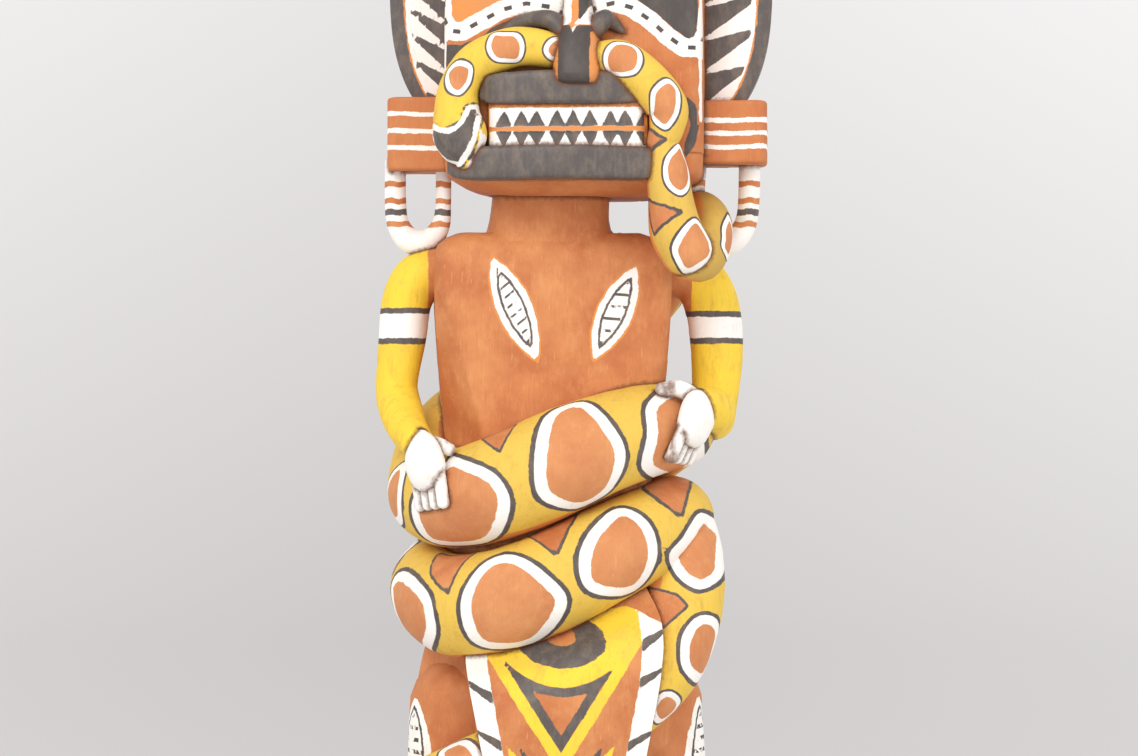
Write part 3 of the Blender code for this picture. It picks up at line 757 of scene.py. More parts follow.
snakeShape = {
    "coilX": bodyX - 1, "coilHalfX": 87, "coilHalfY": 74, "rightBulge": 12,
    "outline": 3.9, "ring": 8.9, "leastRing": 0.4, "hiddenPitch": 88,
    "bellyTop": 98, "bellyLow": 70,  # degrees up and down from the side that faces out
    "markReach": 95,  # how far along the run a mark can reach
    "head": [(6, -82, 824, 12), (-14, -88, 829, 13.5), (-32, -90, 832, 14.5), (-49, -89, 830, 15.5),
             (-72, -86, 820, 15), (-84, -84, 802, 15.5), (-86, -86, 783, 17.5), (-83, -91, 765, 20.5),
             (-81, -95, 752, 15), (-79, -96, 745, 7)],
    "neck": [(13, -82, 820, 12), (30, -91, 822, 14), (45, -96, 820, 15.5), (63, -98, 805, 16.5),
             (78, -97, 786, 16), (78, -96, 771, 13.5), (75, -95, 760, 12), (77, -94, 750, 13.5),
             (79, -94, 736, 16), (81, -94, 718, 17), (85, -93, 694, 20), (94, -91, 677, 20)],
    "curl": [(93, -88, 671, 15), (104, -80, 674, 19), (112, -68, 685, 18), (115, -52, 700, 17),
             (112, -34, 709, 16.5), (108, -12, 711, 17), (106, 14, 702, 18), (99, 40, 682, 21),
             (82, 62, 655, 25), (50, 78, 626, 29), (12, 84, 599, 32), (-30, 78, 574, 35)],
    "upperCoil": [(150, 532, 36), (180, 499, 37.5), (205, 492, 38.5), (225, 493, 38.5), (243, 500, 39.5),
                  (259, 509, 40), (274, 520, 40), (294, 532, 38), (319, 542, 36), (345, 546, 34),
                  (375, 542, 33), (405, 520, 34)],
    "lowerCoil": [(450, 478, 35), (495, 440, 35), (530, 424, 34.5), (552, 416, 36), (572, 410, 39),
                  (585, 410, 39.5), (603, 414, 39.5), (619, 422, 39), (634, 432, 38.5), (654, 447, 37.5),
                  (679, 463, 35.5), (705, 474, 33), (735, 472, 30)],
    "tail": [(86, 4, 484, 26), (92, -18, 462, 32), (94, -36, 430, 34), (89, -46, 398, 34),
             (75, -58, 366, 33), (46, -68, 338, 32), (8, -74, 316, 31), (-34, -76, 297, 30),
             (-74, -68, 279, 29), (-106, -38, 262, 27), (-118, 0, 250, 25), (-108, 34, 240, 22),
             (-84, 50, 231, 19), (-58, 50, 224, 15), (-38, 42, 219, 11), (-26, 34, 216, 6)],
    # Each spot: its middle's pixel, and how far it reaches from there in pixels, every 45 degrees clockwise
    # from the right. Those marked seen lie where two turns meet, so they are laid on from the front.
    "pixel": 0.744,  # figure units for one pixel at the snake
    "hiddenFromY": 20,
    "headSpots": [
        ((506, 48), (21, 21, 16, 20, 22, 21, 16.5, 22)),
        ((460, 78), (14, 14, 20, 20, 16, 15.5, 20.5, 20)),
        ((556, 49.5), (14, 14, 14, 14, 15, 14, 14, 14)),
    ],
    "neckSpots": [
        ((623, 59.5), (22, 22, 19, 21.5, 22, 22, 18, 20)),
        ((666, 104.5), (16, 18, 29, 22, 17.5, 23, 29, 20)),
        ((682, 170), (14, 18, 29, 24.5, 21, 24, 27.5, 18)),
        ((695.5, 249), (21.5, 22, 29.5, 25, 27, 26, 35, 24)),
    ],
    "bodySpots": [
        ((731, 236), (12, 16, 30, 16, 10, 16, 28, 16)),
        ((464, 501), (53.5, 54, 46, 55, 56, 44.5, 46, 47)),
        ((577.6, 455.7), (53.5, 50, 56, 64, 48, 54, 59, 51)),
        ((675.4, 434.3), (33, 44, 54, 53, 33, 46, 54, 45), "seen"),
        ((407, 610), (29, 48, 60, 34, 20, 30, 46, 34)),
        ((514.7, 600.3), (60, 50, 48, 64, 59, 52, 50, 45.5)),
        ((619, 555), (43, 39, 44, 54, 46, 43, 51, 48.5)),
        ((699.5, 555), (30, 36, 39, 35, 35, 28.5, 47, 40), "seen"),
    ],
    "tailSpots": [
        ((699.5, 555), (30, 36, 39, 35, 35, 28.5, 47, 40), "seen"),
        ((703, 650), (28, 34, 41, 34, 27, 32, 41, 36)),
        ((668.7, 711.4), (16, 15, 16, 20, 21, 21, 24, 20)),
        ((461, 762), (26, 26, 26, 26, 26, 26, 26, 26)),
    ],
    "edgeSpot": (89, 28, 32),  # on the left edge: how far before the next spot, and its half sizes
    "spotGap": 44,
    # How brown the yellow is at each run
    "tones": {"head": ([0, 200], [0.3, 0.2]), "neck": ([0, 80, 170], [0.25, 0.35, 0.6]),
              "body": ([0, 150, 260, 600], [0.8, 0.8, 0.5, 0.45]), "tail": ([0, 200], [0.4, 0.3])},
    "headDarts": [],
    "neckDarts": [((646, 129), (665, 139.3), (648, 156)), ((645, 200), (680.2, 211.6), (654, 233))],
    "bodyDarts": [
        ((528, 536), (577, 511), (556.2, 555.4)), ("seen", (644, 488), (660, 466), (692, 474), (681, 516)),
        ((440.2, 553), (476, 551), (448.5, 591.8)), ((392, 575), (402, 541), (421, 541), (399.5, 563)),
        ((480, 434), (514, 420), (498.6, 450.4)),
    ],
    "tailDarts": [((646, 588), (677, 596), (686, 606.5), (662, 627), (650, 616))],
    "shield": [(-104, 770.4), (-98, 766.8), (-90.2, 765.1), (-83.1, 767.8), (-77.6, 773.8), (-73.9, 783.9),
               (-70.9, 784.5), (-70.3, 776.9), (-72.4, 763.7), (-77, 752.6), (-83.1, 744.9), (-89.2, 745.4),
               (-96.3, 750.6), (-101.4, 757.7)],
    "shieldRing": 4.0,
    "eyeSpot": (-70, 780),
    "mouth": [(-68, 773), (-62, 762), (-64, 748), (-72, 740), (-78, 741), (-70, 752), (-67, 764)],
}


def coilPlaces(stations):
    places = []
    for turn, z, radius in stations:
        cos, sin = math.cos(math.radians(turn)), math.sin(math.radians(turn))
        halfX = snakeShape["coilHalfX"] + snakeShape["rightBulge"] * max(0, cos) ** 2
        places.append((snakeShape["coilX"] + halfX * cos, snakeShape["coilHalfY"] * sin, z, radius))
    return places


def onSkin(form):
    # Where each vertex of a tube lies on its skin: run along it and turn from the side that faces out
    rings = form["rings"]
    count, sides, _ = rings.shape
    line = form["line"]
    away = rings - line["centres"][:, None, :]
    turn = np.arctan2(
        np.einsum("ksj,kj->ks", away, line["rise"]), np.einsum("ksj,kj->ks", away, line["out"]),
    )
    return np.repeat(line["run"][:, None], sides, 1), turn


def skinOf(points, ring, line):
    # Run, turn and radius for points whose face starts at the given ring
    last = len(line["run"]) - 2
    k = np.clip(ring, 0, last)
    before = np.einsum("ij,ij->i", points - line["centres"][k], line["tangents"][k])
    after = -np.einsum("ij,ij->i", points - line["centres"][k + 1], line["tangents"][k + 1])
    total = before + after
    share = np.clip(before / np.where(np.abs(total) < 1e-6, 1, total), 0, 1)

    def between(values):
        low, high = values[k], values[k + 1]
        blend = share if values.ndim == 1 else share[:, None]
        return low + (high - low) * blend

    away = points - between(line["centres"])
    turn = np.arctan2(
        np.einsum("ij,ij->i", away, between(line["rise"])), np.einsum("ij,ij->i", away, between(line["out"])),
    )
    return between(line["run"]), turn, between(line["radii"])


def placeMarks(form, spots, darts):
    # Turns marks given in the photograph's pixels into outlines on the skin
    run, turn = onSkin(form)
    line = form["line"]
    rings = form["rings"]
    radii = line["radii"][:, None]
    column, row = toPhoto(rings.reshape(-1, 3))
    normals = rings - line["centres"][:, None, :]
    lens = aim - ahead * view["distance"] / unit
    faced = np.sum(normals * (lens - rings), axis=2) > 0
    # The far side of each turn doesn't take a mark
    shown = rings[..., 1] < snakeShape["hiddenFromY"]
    usable = np.flatnonzero((faced & shown).ravel())
    flatColumn, flatRow = column[usable], row[usable]
    flatRun, flatTurn = run.ravel()[usable], turn.ravel()[usable]
    flatRadius = np.broadcast_to(radii, run.shape).ravel()[usable]

    def skinAt(px, py, near=None):
        distance = np.hypot(flatColumn - px, flatRow - py)
        if near is not None:
            distance = distance + np.where(np.abs(flatRun - near) > 120, 1e6, 0)
        best = np.argsort(distance)[:6]
        weight = 1 / (distance[best] + 0.3) ** 2
        weight /= weight.sum()
        u = float(np.sum(flatRun[best] * weight))
        radius = float(np.sum(flatRadius[best] * weight))
        turned = float(np.sum(flatTurn[best] * weight))
        beyond = max(0.0, float(distance[best[0]]) - 3) * 0.75
        return u, turned * radius + math.copysign(beyond, turned), radius

    marks = []
    for (px, py), reaches, *seen in spots:
        u0, _, radius = skinAt(px, py)
        ends = []
        for step, reach in enumerate(reaches):
            angle = math.radians(45 * step)
            ends.append((px + reach * math.cos(angle), py + reach * math.sin(angle)))
        if seen:
            corners = np.array(closedCurve(ends, 4)) * snakeShape["pixel"]
            marks.append(spotMark(corners, u0, radius) | {"kind": "seen"})
            continue
        corners = np.array([skinAt(endX, endY, u0)[:2] for endX, endY in closedCurve(ends, 4)])
        for _ in range(2):
            corners = (np.roll(corners, 1, axis=0) + 2 * corners + np.roll(corners, -1, axis=0)) / 4
        marks.append(spotMark(corners, u0, radius))
    for corners in darts:
        seen = corners[0] == "seen"
        corners = corners[1:] if seen else corners
        u0, _, radius = skinAt(*np.mean(corners, axis=0))
        if seen:
            marks.append({"kind": "seenDart", "corners": np.array(corners) * snakeShape["pixel"], "run": u0})
            continue
        marks.append({"kind": "dart", "corners": [skinAt(px, py, u0)[:2] for px, py in corners], "run": u0,
                      "radius": radius})
    return marks


def spotMark(corners, run, radius):
    # Small spots have thinner rings
    extent = float(np.ptp(corners, axis=0).min()) / 2
    size = min(1.0, max(snakeShape["leastRing"], min(radius / 38, extent / 30)))
    return {"kind": "spot", "corners": corners, "run": run, "radius": radius, "size": size}


def spotOf(line, run, halfAlong, halfAround, random):
    radius = float(np.interp(run, line["run"], line["radii"]))
    corners = []
    for step in range(8):
        angle = math.radians(45 * step)
        wobble = 1 + random.uniform(-0.1, 0.1)
        corners.append((run + halfAlong * wobble * math.cos(angle), halfAround * wobble * math.sin(angle)))
    return spotMark(closedCurve(corners), run, radius)


def hiddenSpots(line, firstRun, lastRun, random):
    # Spots of the usual size at the usual spacing, where the photograph doesn't show the snake
    spots = []
    gap = lastRun - firstRun
    count = max(0, int(gap / snakeShape["hiddenPitch"]))
    for i in range(count):
        run = firstRun + gap * (i + 0.5) / count
        size = float(np.interp(run, line["run"], line["radii"])) / 38
        spots.append(spotOf(line, run, min(34 * size, gap / count * 0.4), 42 * size, random))
    return spots


def paintSnake(points, line, ring, marks, tone):
    run, turn, radius = skinOf(points, ring, line)
    skin = turn * radius
    degrees = np.degrees(turn)
    spot, dart = np.full(len(points), 50.0), np.full(len(points), -50.0)
    for mark in marks:
        near = np.abs(run - mark["run"]) < snakeShape["markReach"]
        seen = mark["kind"].startswith("seen")
        if seen:
            near &= points[:, 1] < 0
        if not near.any():
            continue
        if seen:
            column, row = toPhoto(points[near])
            depth = polygonDepth(column * snakeShape["pixel"], row * snakeShape["pixel"], mark["corners"])
        else:
            depth = polygonDepth(run[near], skin[near], mark["corners"])
        if mark["kind"] in ("spot", "seen"):
            spot[near] = np.minimum(spot[near], -depth / mark["size"])
        else:
            dart[near] = np.maximum(dart[near], depth)
    belly = np.minimum(snakeShape["bellyTop"] - degrees, degrees + snakeShape["bellyLow"])
    belly = belly * radius / 57.3  # degrees as a length on the skin
    toneRuns, tones = tone
    return {"yellow": belly, "spot": spot, "dart": dart, "tone": np.interp(run, toneRuns, tones),
            "tint": 20.0}


def makeSnake():
    random = np.random.default_rng(11)
    tube("snakeHead", snakeShape["head"], 2.2, 40, None, facet=0.2, onHead=True, facing=(0, -1, 0))
    tube("snakeNeck", snakeShape["neck"], 2.4, 42, None, facet=0.25, facing=(0, -1, 0))
    body = snakeShape["curl"] + coilPlaces(snakeShape["upperCoil"] + snakeShape["lowerCoil"])
    tube("snakeBody", body, 4.0, 56, None, facet=0.5)
    tube("snakeTail", snakeShape["tail"], 4.0, 48, None, facet=0.5)
    byName = {form["name"]: form for form in forms}
    for part in ("head", "neck", "body", "tail"):
        form = byName["snake" + part.title()]
        form["marks"] = placeMarks(form, snakeShape[part + "Spots"], snakeShape[part + "Darts"])
        form["tone"] = snakeShape["tones"][part]

    # Where the photograph doesn't show the snake, spots fill the gaps between those it shows
    body, tail = byName["snakeBody"], byName["snakeTail"]
    runs = [mark["run"] for mark in body["marks"] if "size" in mark]
    tailRuns = [mark["run"] for mark in tail["marks"] if "size" in mark]
    before, halfAlong, halfAround = snakeShape["edgeSpot"]
    edge, near = runs[1] - before, snakeShape["spotGap"]
    body["marks"].append(spotOf(body["line"], edge, halfAlong, halfAround, random))
    for form, first, last in (
        (body, runs[0] + 30, edge - near), (body, runs[3] + near, runs[4] - near),
        (body, max(runs) + near, body["line"]["run"][-1] - 6), (tail, tailRuns[2] + 20, tailRuns[3] - 30),
        (tail, tailRuns[3] + 30, tail["line"]["run"][-1] - 20),
    ):
        form["marks"] += hiddenSpots(form["line"], first, last, random)


def paintSnakeHead(points, line, ring, marks, tone):
    fields = paintSnake(points, line, ring, marks, tone)
    x, y, z = worldToHead(points).T
    front = y < -84
    shield = polygonDepth(x, z, snakeShape["shield"])
    eye = 1.3 - np.hypot(x - snakeShape["eyeSpot"][0], z - snakeShape["eyeSpot"][1])
    mouth = polygonDepth(x, z, snakeShape["mouth"])
    fields["yellow"] = 50.0
    fields["white"] = np.where(front, np.maximum(shield + snakeShape["shieldRing"], mouth), -50)
    border = 0.8 - np.abs(shield + snakeShape["shieldRing"] + 0.8)
    fields["black"] = np.where(front, np.maximum.reduce([shield, eye, border]), -50)
    return fields


# The apron before the legs

apronShape = {
    "rows": [(188, 0, 15, -91, 5, 15), (202, 0, 29, -96, 8, 18), (228, 0, 41, -103, 10, 20),
             (262, 0, 52, -110, 12, 22), (299, 1, 61, -116, 14, 24), (330, 1, 67, -118, 14, 28),
             (352, 1, 71, -115, 13, 32), (370, 1, 73, -105, 12, 34), (386, 2, 73, -84, 10, 32),
             (406, 3, 70, -72, 9, 30), (428, 3, 60, -64, 8, 28)],
    "tilt": 0.35, "tiltFrom": 318, "tiltMiddle": -10,  # its top goes in under the coil lower at the left
    "bandWidth": 16, "slantSlope": 0.62, "slantHalf": 3.9, "lowMarksTop": 312,
    "dashes": {-1: (349, 314, 279, 244, 209), 1: (388, 360, 313, 278, 243, 210)},
    "curveLow": 353, "curveBend": 0.0099, "oval": (-1, 386, 33, 19), "ovalEye": (11, 6.7), "eyeRise": 3,
    "apex": (-2.4, 305), "steep": 85 / 54, "acrossShare": 0.536, "chevronPitch": 27.4,
    "blackHalf": 3.4, "yellowHalf": 4.4,
    "lowBlack": (3.6, 3.4), "lowYellow": (4.2, 23.4),  # half a line's width, and where in the pitch it lies
    # The paint ends under the coil, at these heights across the apron
    "topX": (-75, -46, -1, 31, 50, 75), "topZ": (373, 377, 397, 408, 411, 399),
}


def paintApron(points, line):
    x, y, z = points.T
    rows = np.array(apronShape["rows"])
    middle = np.interp(z, rows[:, 0], rows[:, 1])
    edge = np.interp(z, rows[:, 0], rows[:, 2]) - np.abs(x - middle)
    lean = np.where(z > apronShape["tiltFrom"], -apronShape["tilt"] * (x - apronShape["tiltMiddle"]), 0)
    lean = lean * np.clip((z - apronShape["tiltFrom"]) / 30, 0, 1)
    front = y < np.interp(z + lean, rows[:, 0], rows[:, 3] + rows[:, 4]) + 4
    top = np.interp(x, apronShape["topX"], apronShape["topZ"]) - z
    band = apronShape["bandWidth"] - edge
    side = np.sign(x - middle)
    slanted = z + apronShape["slantSlope"] * (edge - 8)
    taper = np.clip(0.45 + 0.55 * edge / apronShape["bandWidth"], 0.3, 1)
    dash = np.full(len(x), -50.0)
    for way, heights in apronShape["dashes"].items():
        for height in heights:
            reach = apronShape["slantHalf"] * taper - np.abs(slanted - height) * 0.85
            dash = np.where(side == way, np.maximum(dash, reach), dash)
    curve = apronShape["curveLow"] + apronShape["curveBend"] * (x + 1) ** 2
    ovalX, ovalZ, ovalA, ovalB = apronShape["oval"]
    oval = (1 - np.hypot((x - ovalX) / ovalA, (z - ovalZ) / ovalB)) * ovalB
    eyeA, eyeB = apronShape["ovalEye"]
    eye = (1 - np.hypot((x - ovalX) / eyeA, (z - ovalZ - apronShape["eyeRise"]) / eyeB)) * eyeB
    apexX, apexZ = apronShape["apex"]
    # Nested Vs: h is how far a point lies above the main V, measured across its lines
    h = ((z - apexZ) - np.abs(x - apexX) * apronShape["steep"]) * apronShape["acrossShare"]
    level = h % apronShape["chevronPitch"]
    grown = np.clip((apronShape["lowMarksTop"] - z) / 16, 0, 1) * (h < -12)
    above = z - curve
    half, yellowHalf = apronShape["blackHalf"], apronShape["yellowHalf"]
    blackV = np.maximum(half - np.abs(h - half), np.where(h > 0, half - np.abs(above + half), -50))
    lowHalf, lowPlace = apronShape["lowBlack"]
    blackV = np.maximum(blackV, lowHalf * grown - np.abs(level - lowPlace) - 0.2)
    lowHalf, lowPlace = apronShape["lowYellow"]
    yellowV = np.maximum(yellowHalf - np.abs(h + yellowHalf),
                         lowHalf * grown - np.abs(level - lowPlace) - 0.2)
    blackV = np.minimum(blackV, -above)
    black = np.maximum(blackV, np.minimum(oval, -eye))
    black = np.minimum(black, -band)
    yellow = np.maximum(yellowV, np.minimum(above, -eye))
    black = np.maximum(black, np.minimum(dash, band))
    painted = {"yellow": yellow, "white": band, "black": black}
    return {name: np.where(front, np.minimum(depth, top), -50) for name, depth in painted.items()}


def makeApron():
    rows = spline(apronShape["rows"], 2.4)
    panel("apron", rows, 60, paintApron, facet=0.3)
    rings = forms[-1]["rings"]
    x, z = rings[..., 0], rings[..., 2]
    share = np.clip((z - apronShape["tiltFrom"]) / 30, 0, 1)
    lean = -apronShape["tilt"] * (x - apronShape["tiltMiddle"]) * share
    rings[..., 1] += np.interp(z + lean, rows[:, 0], rows[:, 3]) - np.interp(z, rows[:, 0], rows[:, 3])


# The base

baseShape = {"margin": 0.022, "chamfer": 0.006, "sides": 144}


def paintBase(points, line):
    return {"tone": 1.0}


def makeBase():
    toe = math.hypot(footShape["x"] + footShape["halfWidth"] * 0.8, footShape["toeY"]) * unit
    radius = (toe + baseShape["margin"]) / unit
    chamfer, height = baseShape["chamfer"] / unit, figure["baseHeight"] / unit
    profile = [(radius * share, -height) for share in np.linspace(0.1, 0.85, 5)]
    profile += [(radius - chamfer, -height), (radius - chamfer * 0.3, chamfer * 0.3 - height)]
    profile += [(radius, z) for z in np.linspace(chamfer - height, -chamfer, 9)]
    profile += [(radius - chamfer * 0.3, -chamfer * 0.3), (radius - chamfer, 0)]
    profile += [(radius * share, 0) for share in np.linspace(0.9, 0.1, 22)]
    angles = np.arange(baseShape["sides"]) * 2 * math.pi / baseShape["sides"]
    rings = [np.column_stack([r * np.cos(angles), r * np.sin(angles), angles * 0 + z]) for r, z in profile]
    addForm("base", rings, paintBase, 0.7)


# Knife facets: the surface is cut in flats, each one tilted a little its own way

ringsPerForm = 1024  # each face keeps its form's number times this, plus its ring
seamBend = 0.02
grownTogether = [
    ("torso", "neck", "leg-1", "leg1", "foot-1", "foot1", "leftUpperArm", "leftForearm", "rightUpperArm",
     "rightForearm"),
    ("snakeBody", "snakeTail"),
]


def facetSeeds():
    random = np.random.default_rng(5)
    cell = np.array([figure["facetWidth"]] * 2 + [figure["facetLength"]])
    low, high = np.array([-175, -160, -50]), np.array([175, 160, 1075])  # holds the whole figure
    counts = np.ceil((high - low) / cell).astype(int)
    grid = np.stack(np.meshgrid(*[np.arange(n) for n in counts], indexing="ij"), axis=-1).reshape(-1, 3)
    seeds = (grid + random.uniform(0.1, 0.9, grid.shape)) * cell + low
    tilts = random.normal(size=grid.shape)
    tilts /= np.linalg.norm(tilts, axis=1, keepdims=True)
    tree = KDTree(len(seeds))
    for i, seed in enumerate(seeds / cell):
        tree.insert(seed, i)
    tree.balance()
    return seeds / cell, tilts, tree, cell


def cutFacets(points, normals, depth, seeds, tilts, tree, cell):
    scaled = points / cell
    nearest = np.array([tree.find(p)[1] for p in scaled])
    lean = np.einsum("ij,ij->i", scaled - seeds[nearest], tilts[nearest])
    offset = np.clip(lean * 1.5, -1, 1) * 0.5 - 0.5  # each flat only cuts in
    return points + normals * (offset * depth)[:, None]


def meshOf(form, index, seeds):
    rings = form["rings"]
    count, sides, _ = rings.shape
    points = rings.reshape(-1, 3)
    k = np.repeat(np.arange(count - 1), sides)
    i = np.tile(np.arange(sides), count - 1)
    j = (i + 1) % sides
    quads = np.column_stack([k * sides + i, k * sides + j, (k + 1) * sides + j, (k + 1) * sides + i])
    faces = quads.tolist()
    faces.append(list(reversed(range(sides))))
    faces.append(list(range((count - 1) * sides, count * sides)))
    mesh = bpy.data.meshes.new(form["name"])
    mesh.from_pydata(points.tolist(), [], faces)
    mesh.update()
    normals = np.zeros(len(points) * 3, np.float32)
    mesh.vertices.foreach_get("normal", normals)
    normals = normals.reshape(-1, 3).astype(float)
    if form["shape"]:
        points = form["shape"](points, normals)
    points = cutFacets(points, normals, form["facet"], *seeds)
    placed = points * unit + [0, 0, figure["baseHeight"]]
    mesh.vertices.foreach_set("co", placed.astype(np.float32).ravel())
    codes = np.concatenate([k, [0, count - 2]]) + index * ringsPerForm
    attribute = mesh.attributes.new("form", "INT", "FACE")
    attribute.data.foreach_set("value", codes.astype(np.int32))
    mesh.update()
    return bpy.data.objects.new(form["name"], mesh)


def carve():
    # Joins all forms into one closed surface and keeps, on each face, which form and ring it came from
    seeds = facetSeeds()
    objects = [meshOf(form, index, seeds) for index, form in enumerate(forms)]
    print("forms:", len(objects), "faces:", sum(len(o.data.polygons) for o in objects))
    parts = bpy.data.collections.new("formParts")
    bpy.context.scene.collection.children.link(parts)
    base = objects[-1]
    bpy.context.scene.collection.objects.link(base)
    for obj in objects[:-1]:
        parts.objects.link(obj)
    union = base.modifiers.new("oneLog", "BOOLEAN")
    union.operation = "UNION"
    union.operand_type = "COLLECTION"
    union.collection = parts
    union.solver = "MANIFOLD"
    bpy.context.view_layer.update()
    graph = bpy.context.evaluated_depsgraph_get()
    carved = bpy.data.meshes.new_from_object(base.evaluated_get(graph), depsgraph=graph)
    for obj in objects:
        bpy.data.objects.remove(obj)
    bpy.data.collections.remove(parts)
    carved.name = "carvedFigure"
    piece = bpy.data.objects.new("carved_figure", carved)
    bpy.context.scene.collection.objects.link(piece)
    return piece


def read(collection, name, width=1, kind=np.float32):
    values = np.zeros(len(collection) * width, kind)
    collection.foreach_get(name, values)
    return values.reshape(-1, width) if width > 1 else values


def bendOf(mesh, places):
    # How sharply the surface bends at each vertex, averaged with its neighbours: edges are positive
    edges = read(mesh.edges, "vertices", 2, np.int32)
    normals = read(mesh.vertices, "normal", 3)
    step = places[edges[:, 1]] - places[edges[:, 0]]
    length = np.maximum(np.linalg.norm(step, axis=1), 0.4)
    bend, weight = np.zeros(len(places)), np.zeros(len(places))
    for end, way in ((edges[:, 0], 1), (edges[:, 1], -1)):
        np.add.at(bend, end, -np.einsum("ij,ij->i", step, normals[end]) * way / length)
        np.add.at(weight, end, 1)
    bend /= np.maximum(weight, 1)
    for _ in range(2):
        total, share = bend * 1.0, np.ones(len(places))
        for end, other in ((edges[:, 0], edges[:, 1]), (edges[:, 1], edges[:, 0])):
            np.add.at(total, end, bend[other])
            np.add.at(share, end, 1)
        bend = total / share
    return bend


def creaseOf(vertex, places, formOfCorner, bend):
    # How far each vertex is from a seam between two forms, where dirt and painted shade darken the paint.
    # Limbs grow smoothly out of the body, and the snake is one, so neither dirt nor painted shade is laid
    # where those meet.
    grown = np.array([next((i for i, group in enumerate(grownTogether) if form["name"] in group), -index - 1)
                      for index, form in enumerate(forms)])[formOfCorner]
    first = np.zeros(len(places), int)
    first[vertex] = grown
    mixed = np.zeros(len(places), bool)
    mixed[vertex[first[vertex] != grown]] = True
    seam = places[mixed & (bend < seamBend)]
    tree = KDTree(len(seam))
    for i, place in enumerate(seam):
        tree.insert(place, i)
    tree.balance()
    return np.array([min(tree.find(p)[2], 40.0) for p in places])


def layPaint(piece):
    mesh = piece.data
    vertex = read(mesh.loops, "vertex_index", 1, np.int32)
    places = (read(mesh.vertices, "co", 3).astype(float) - [0, 0, figure["baseHeight"]]) / unit
    codes = read(mesh.attributes["form"].data, "value", 1, np.int32)
    codes = np.repeat(codes, read(mesh.polygons, "loop_total", 1, np.int32))
    formOfCorner, ringOfCorner = codes // ringsPerForm, codes % ringsPerForm
    corners = places[vertex]
    fields = {name: np.full(len(corners), float(value)) for name, value in nothing.items()}
    for index, form in enumerate(forms):
        chosen = np.flatnonzero(formOfCorner == index)
        if not len(chosen):
            continue
        if "marks" in form:
            paint = paintSnakeHead if form["name"] == "snakeHead" else paintSnake
            found = paint(corners[chosen], form["line"], ringOfCorner[chosen], form["marks"], form["tone"])
        else:
            found = form["paint"](corners[chosen], form["line"])
        for name, values in found.items():
            fields[name][chosen] = values
    bend = bendOf(mesh, places)
    fields["bend"] = bend[vertex]
    fields["crease"] = creaseOf(vertex, places, formOfCorner, bend)[vertex]
    for name, members in fieldGroups.items():
        values = np.column_stack([fields[member] for member in members]).astype(np.float32)
        attribute = mesh.attributes.new(name, "FLOAT_VECTOR", "CORNER")
        attribute.data.foreach_set("vector", values.ravel())
    mesh.attributes.remove(mesh.attributes["form"])


# Material

paintShades = {
    "redOchre": "#D08955", "redOchreDeep": "#BA6D40", "redOchreWorn": "#E0A571",
    "orange": "#D98B45",
    "lemon": "#F0CB3C", "mustard": "#DDB650", "brownYellow": "#B08B4A",
    "chalk": "#F3EFEA", "chalkThin": "#DCCFC4",
    "charcoal": "#57504E", "charcoalThin": "#75695F", "charcoalDeep": "#3F3937",
    # the dirt colour is also laid as painted shade in the seams and hollows
    "rawWood": "#D9B98C", "dirtAndShade": "#6A3C20", "baseWood": "#9A6A48",
}

# Each paint: its first shade, then the shades that come in over it, with the pattern that each one follows,
# the levels between which it comes in, and how strong it gets
paintMixes = {
    "red": ("redOchreDeep", ("patch", 0.36, 0.66, 1, "redOchre"), ("scuff", 0.5, 0.78, 0.45, "redOchreWorn"),
            ("grain", 0.54, 0.72, 0.45, "redOchreDeep"), ("scratch", 0.66, 0.74, 0.5, "redOchreWorn"),
            # tone above 0.55 darkens the red; on the legs this darker red is painted shade
            ("tone", 0.55, 0.85, 0.45, "redOchreDeep")),
    "stained": ("redOchreDeep", ("scuff", 0.38, 0.6, 1, "baseWood")),
    "orange": ("orange", ("patch", 0.4, 0.62, 1, "redOchre")),
    "yellow": ("lemon", ("tone", 0, 0.5, 1, "mustard"), ("tone", 0.5, 1, 1, "brownYellow"),
               ("patch", 0.5, 0.75, 0.55, "mustard"), ("scuff", 0.52, 0.8, 0.6, "brownYellow"),
               ("grain", 0.56, 0.74, 0.3, "brownYellow")),
    "chalk": ("chalk", ("scuff", 0.55, 0.78, 0.7, "chalkThin")),
    "coal": ("charcoal", ("scuff", 0.44, 0.7, 1, "charcoalThin"), ("grain", 0.55, 0.75, 0.4, "charcoalThin"),
             ("tone", 0.3, 0.85, 0.7, "charcoalDeep")),
    "rawWood": ("rawWood",),
    # dirt: also painted shade in the seams and hollows
    "dirtAndShade": ("dirtAndShade",),
}

# Each pattern: its size in mm along x, y and z, then its detail, roughness, distortion and turn
paintPatterns = {
    "wave": ((7, 7, 7), 3, 0.5, 0, (0, 0, 0)),  # the slow waves of a painted edge
    "bristle": ((1.5, 1.5, 1.5), 2, 0.5, 0, (0, 0, 0)),  # drawn at about twice the real width
    "patch": ((38, 38, 38), 4, 0.6, 0, (0, 0, 0)),  # thicker and thinner paint
    "grain": ((1.6, 1.6, 26), 3, 0.5, 0.4, (0, 0, 0)),  # the grain lines run up the log
    "scuff": ((9, 9, 16), 6, 0.68, 0, (0, 0, 0)),  # where the paint is rubbed
    "scratch": ((1.111, 1.111, 16.667), 2, 0.5, 0, (0.3, 0.9, 0.2)),
    "dry": ((6.5, 6.5, 6.5), 1, 0.5, 0, (0, 0, 0)),  # where the brush ran dry
    "chip": ((3.2, 3.2, 3.2), 4, 0.7, 0, (0, 0, 0)),
}

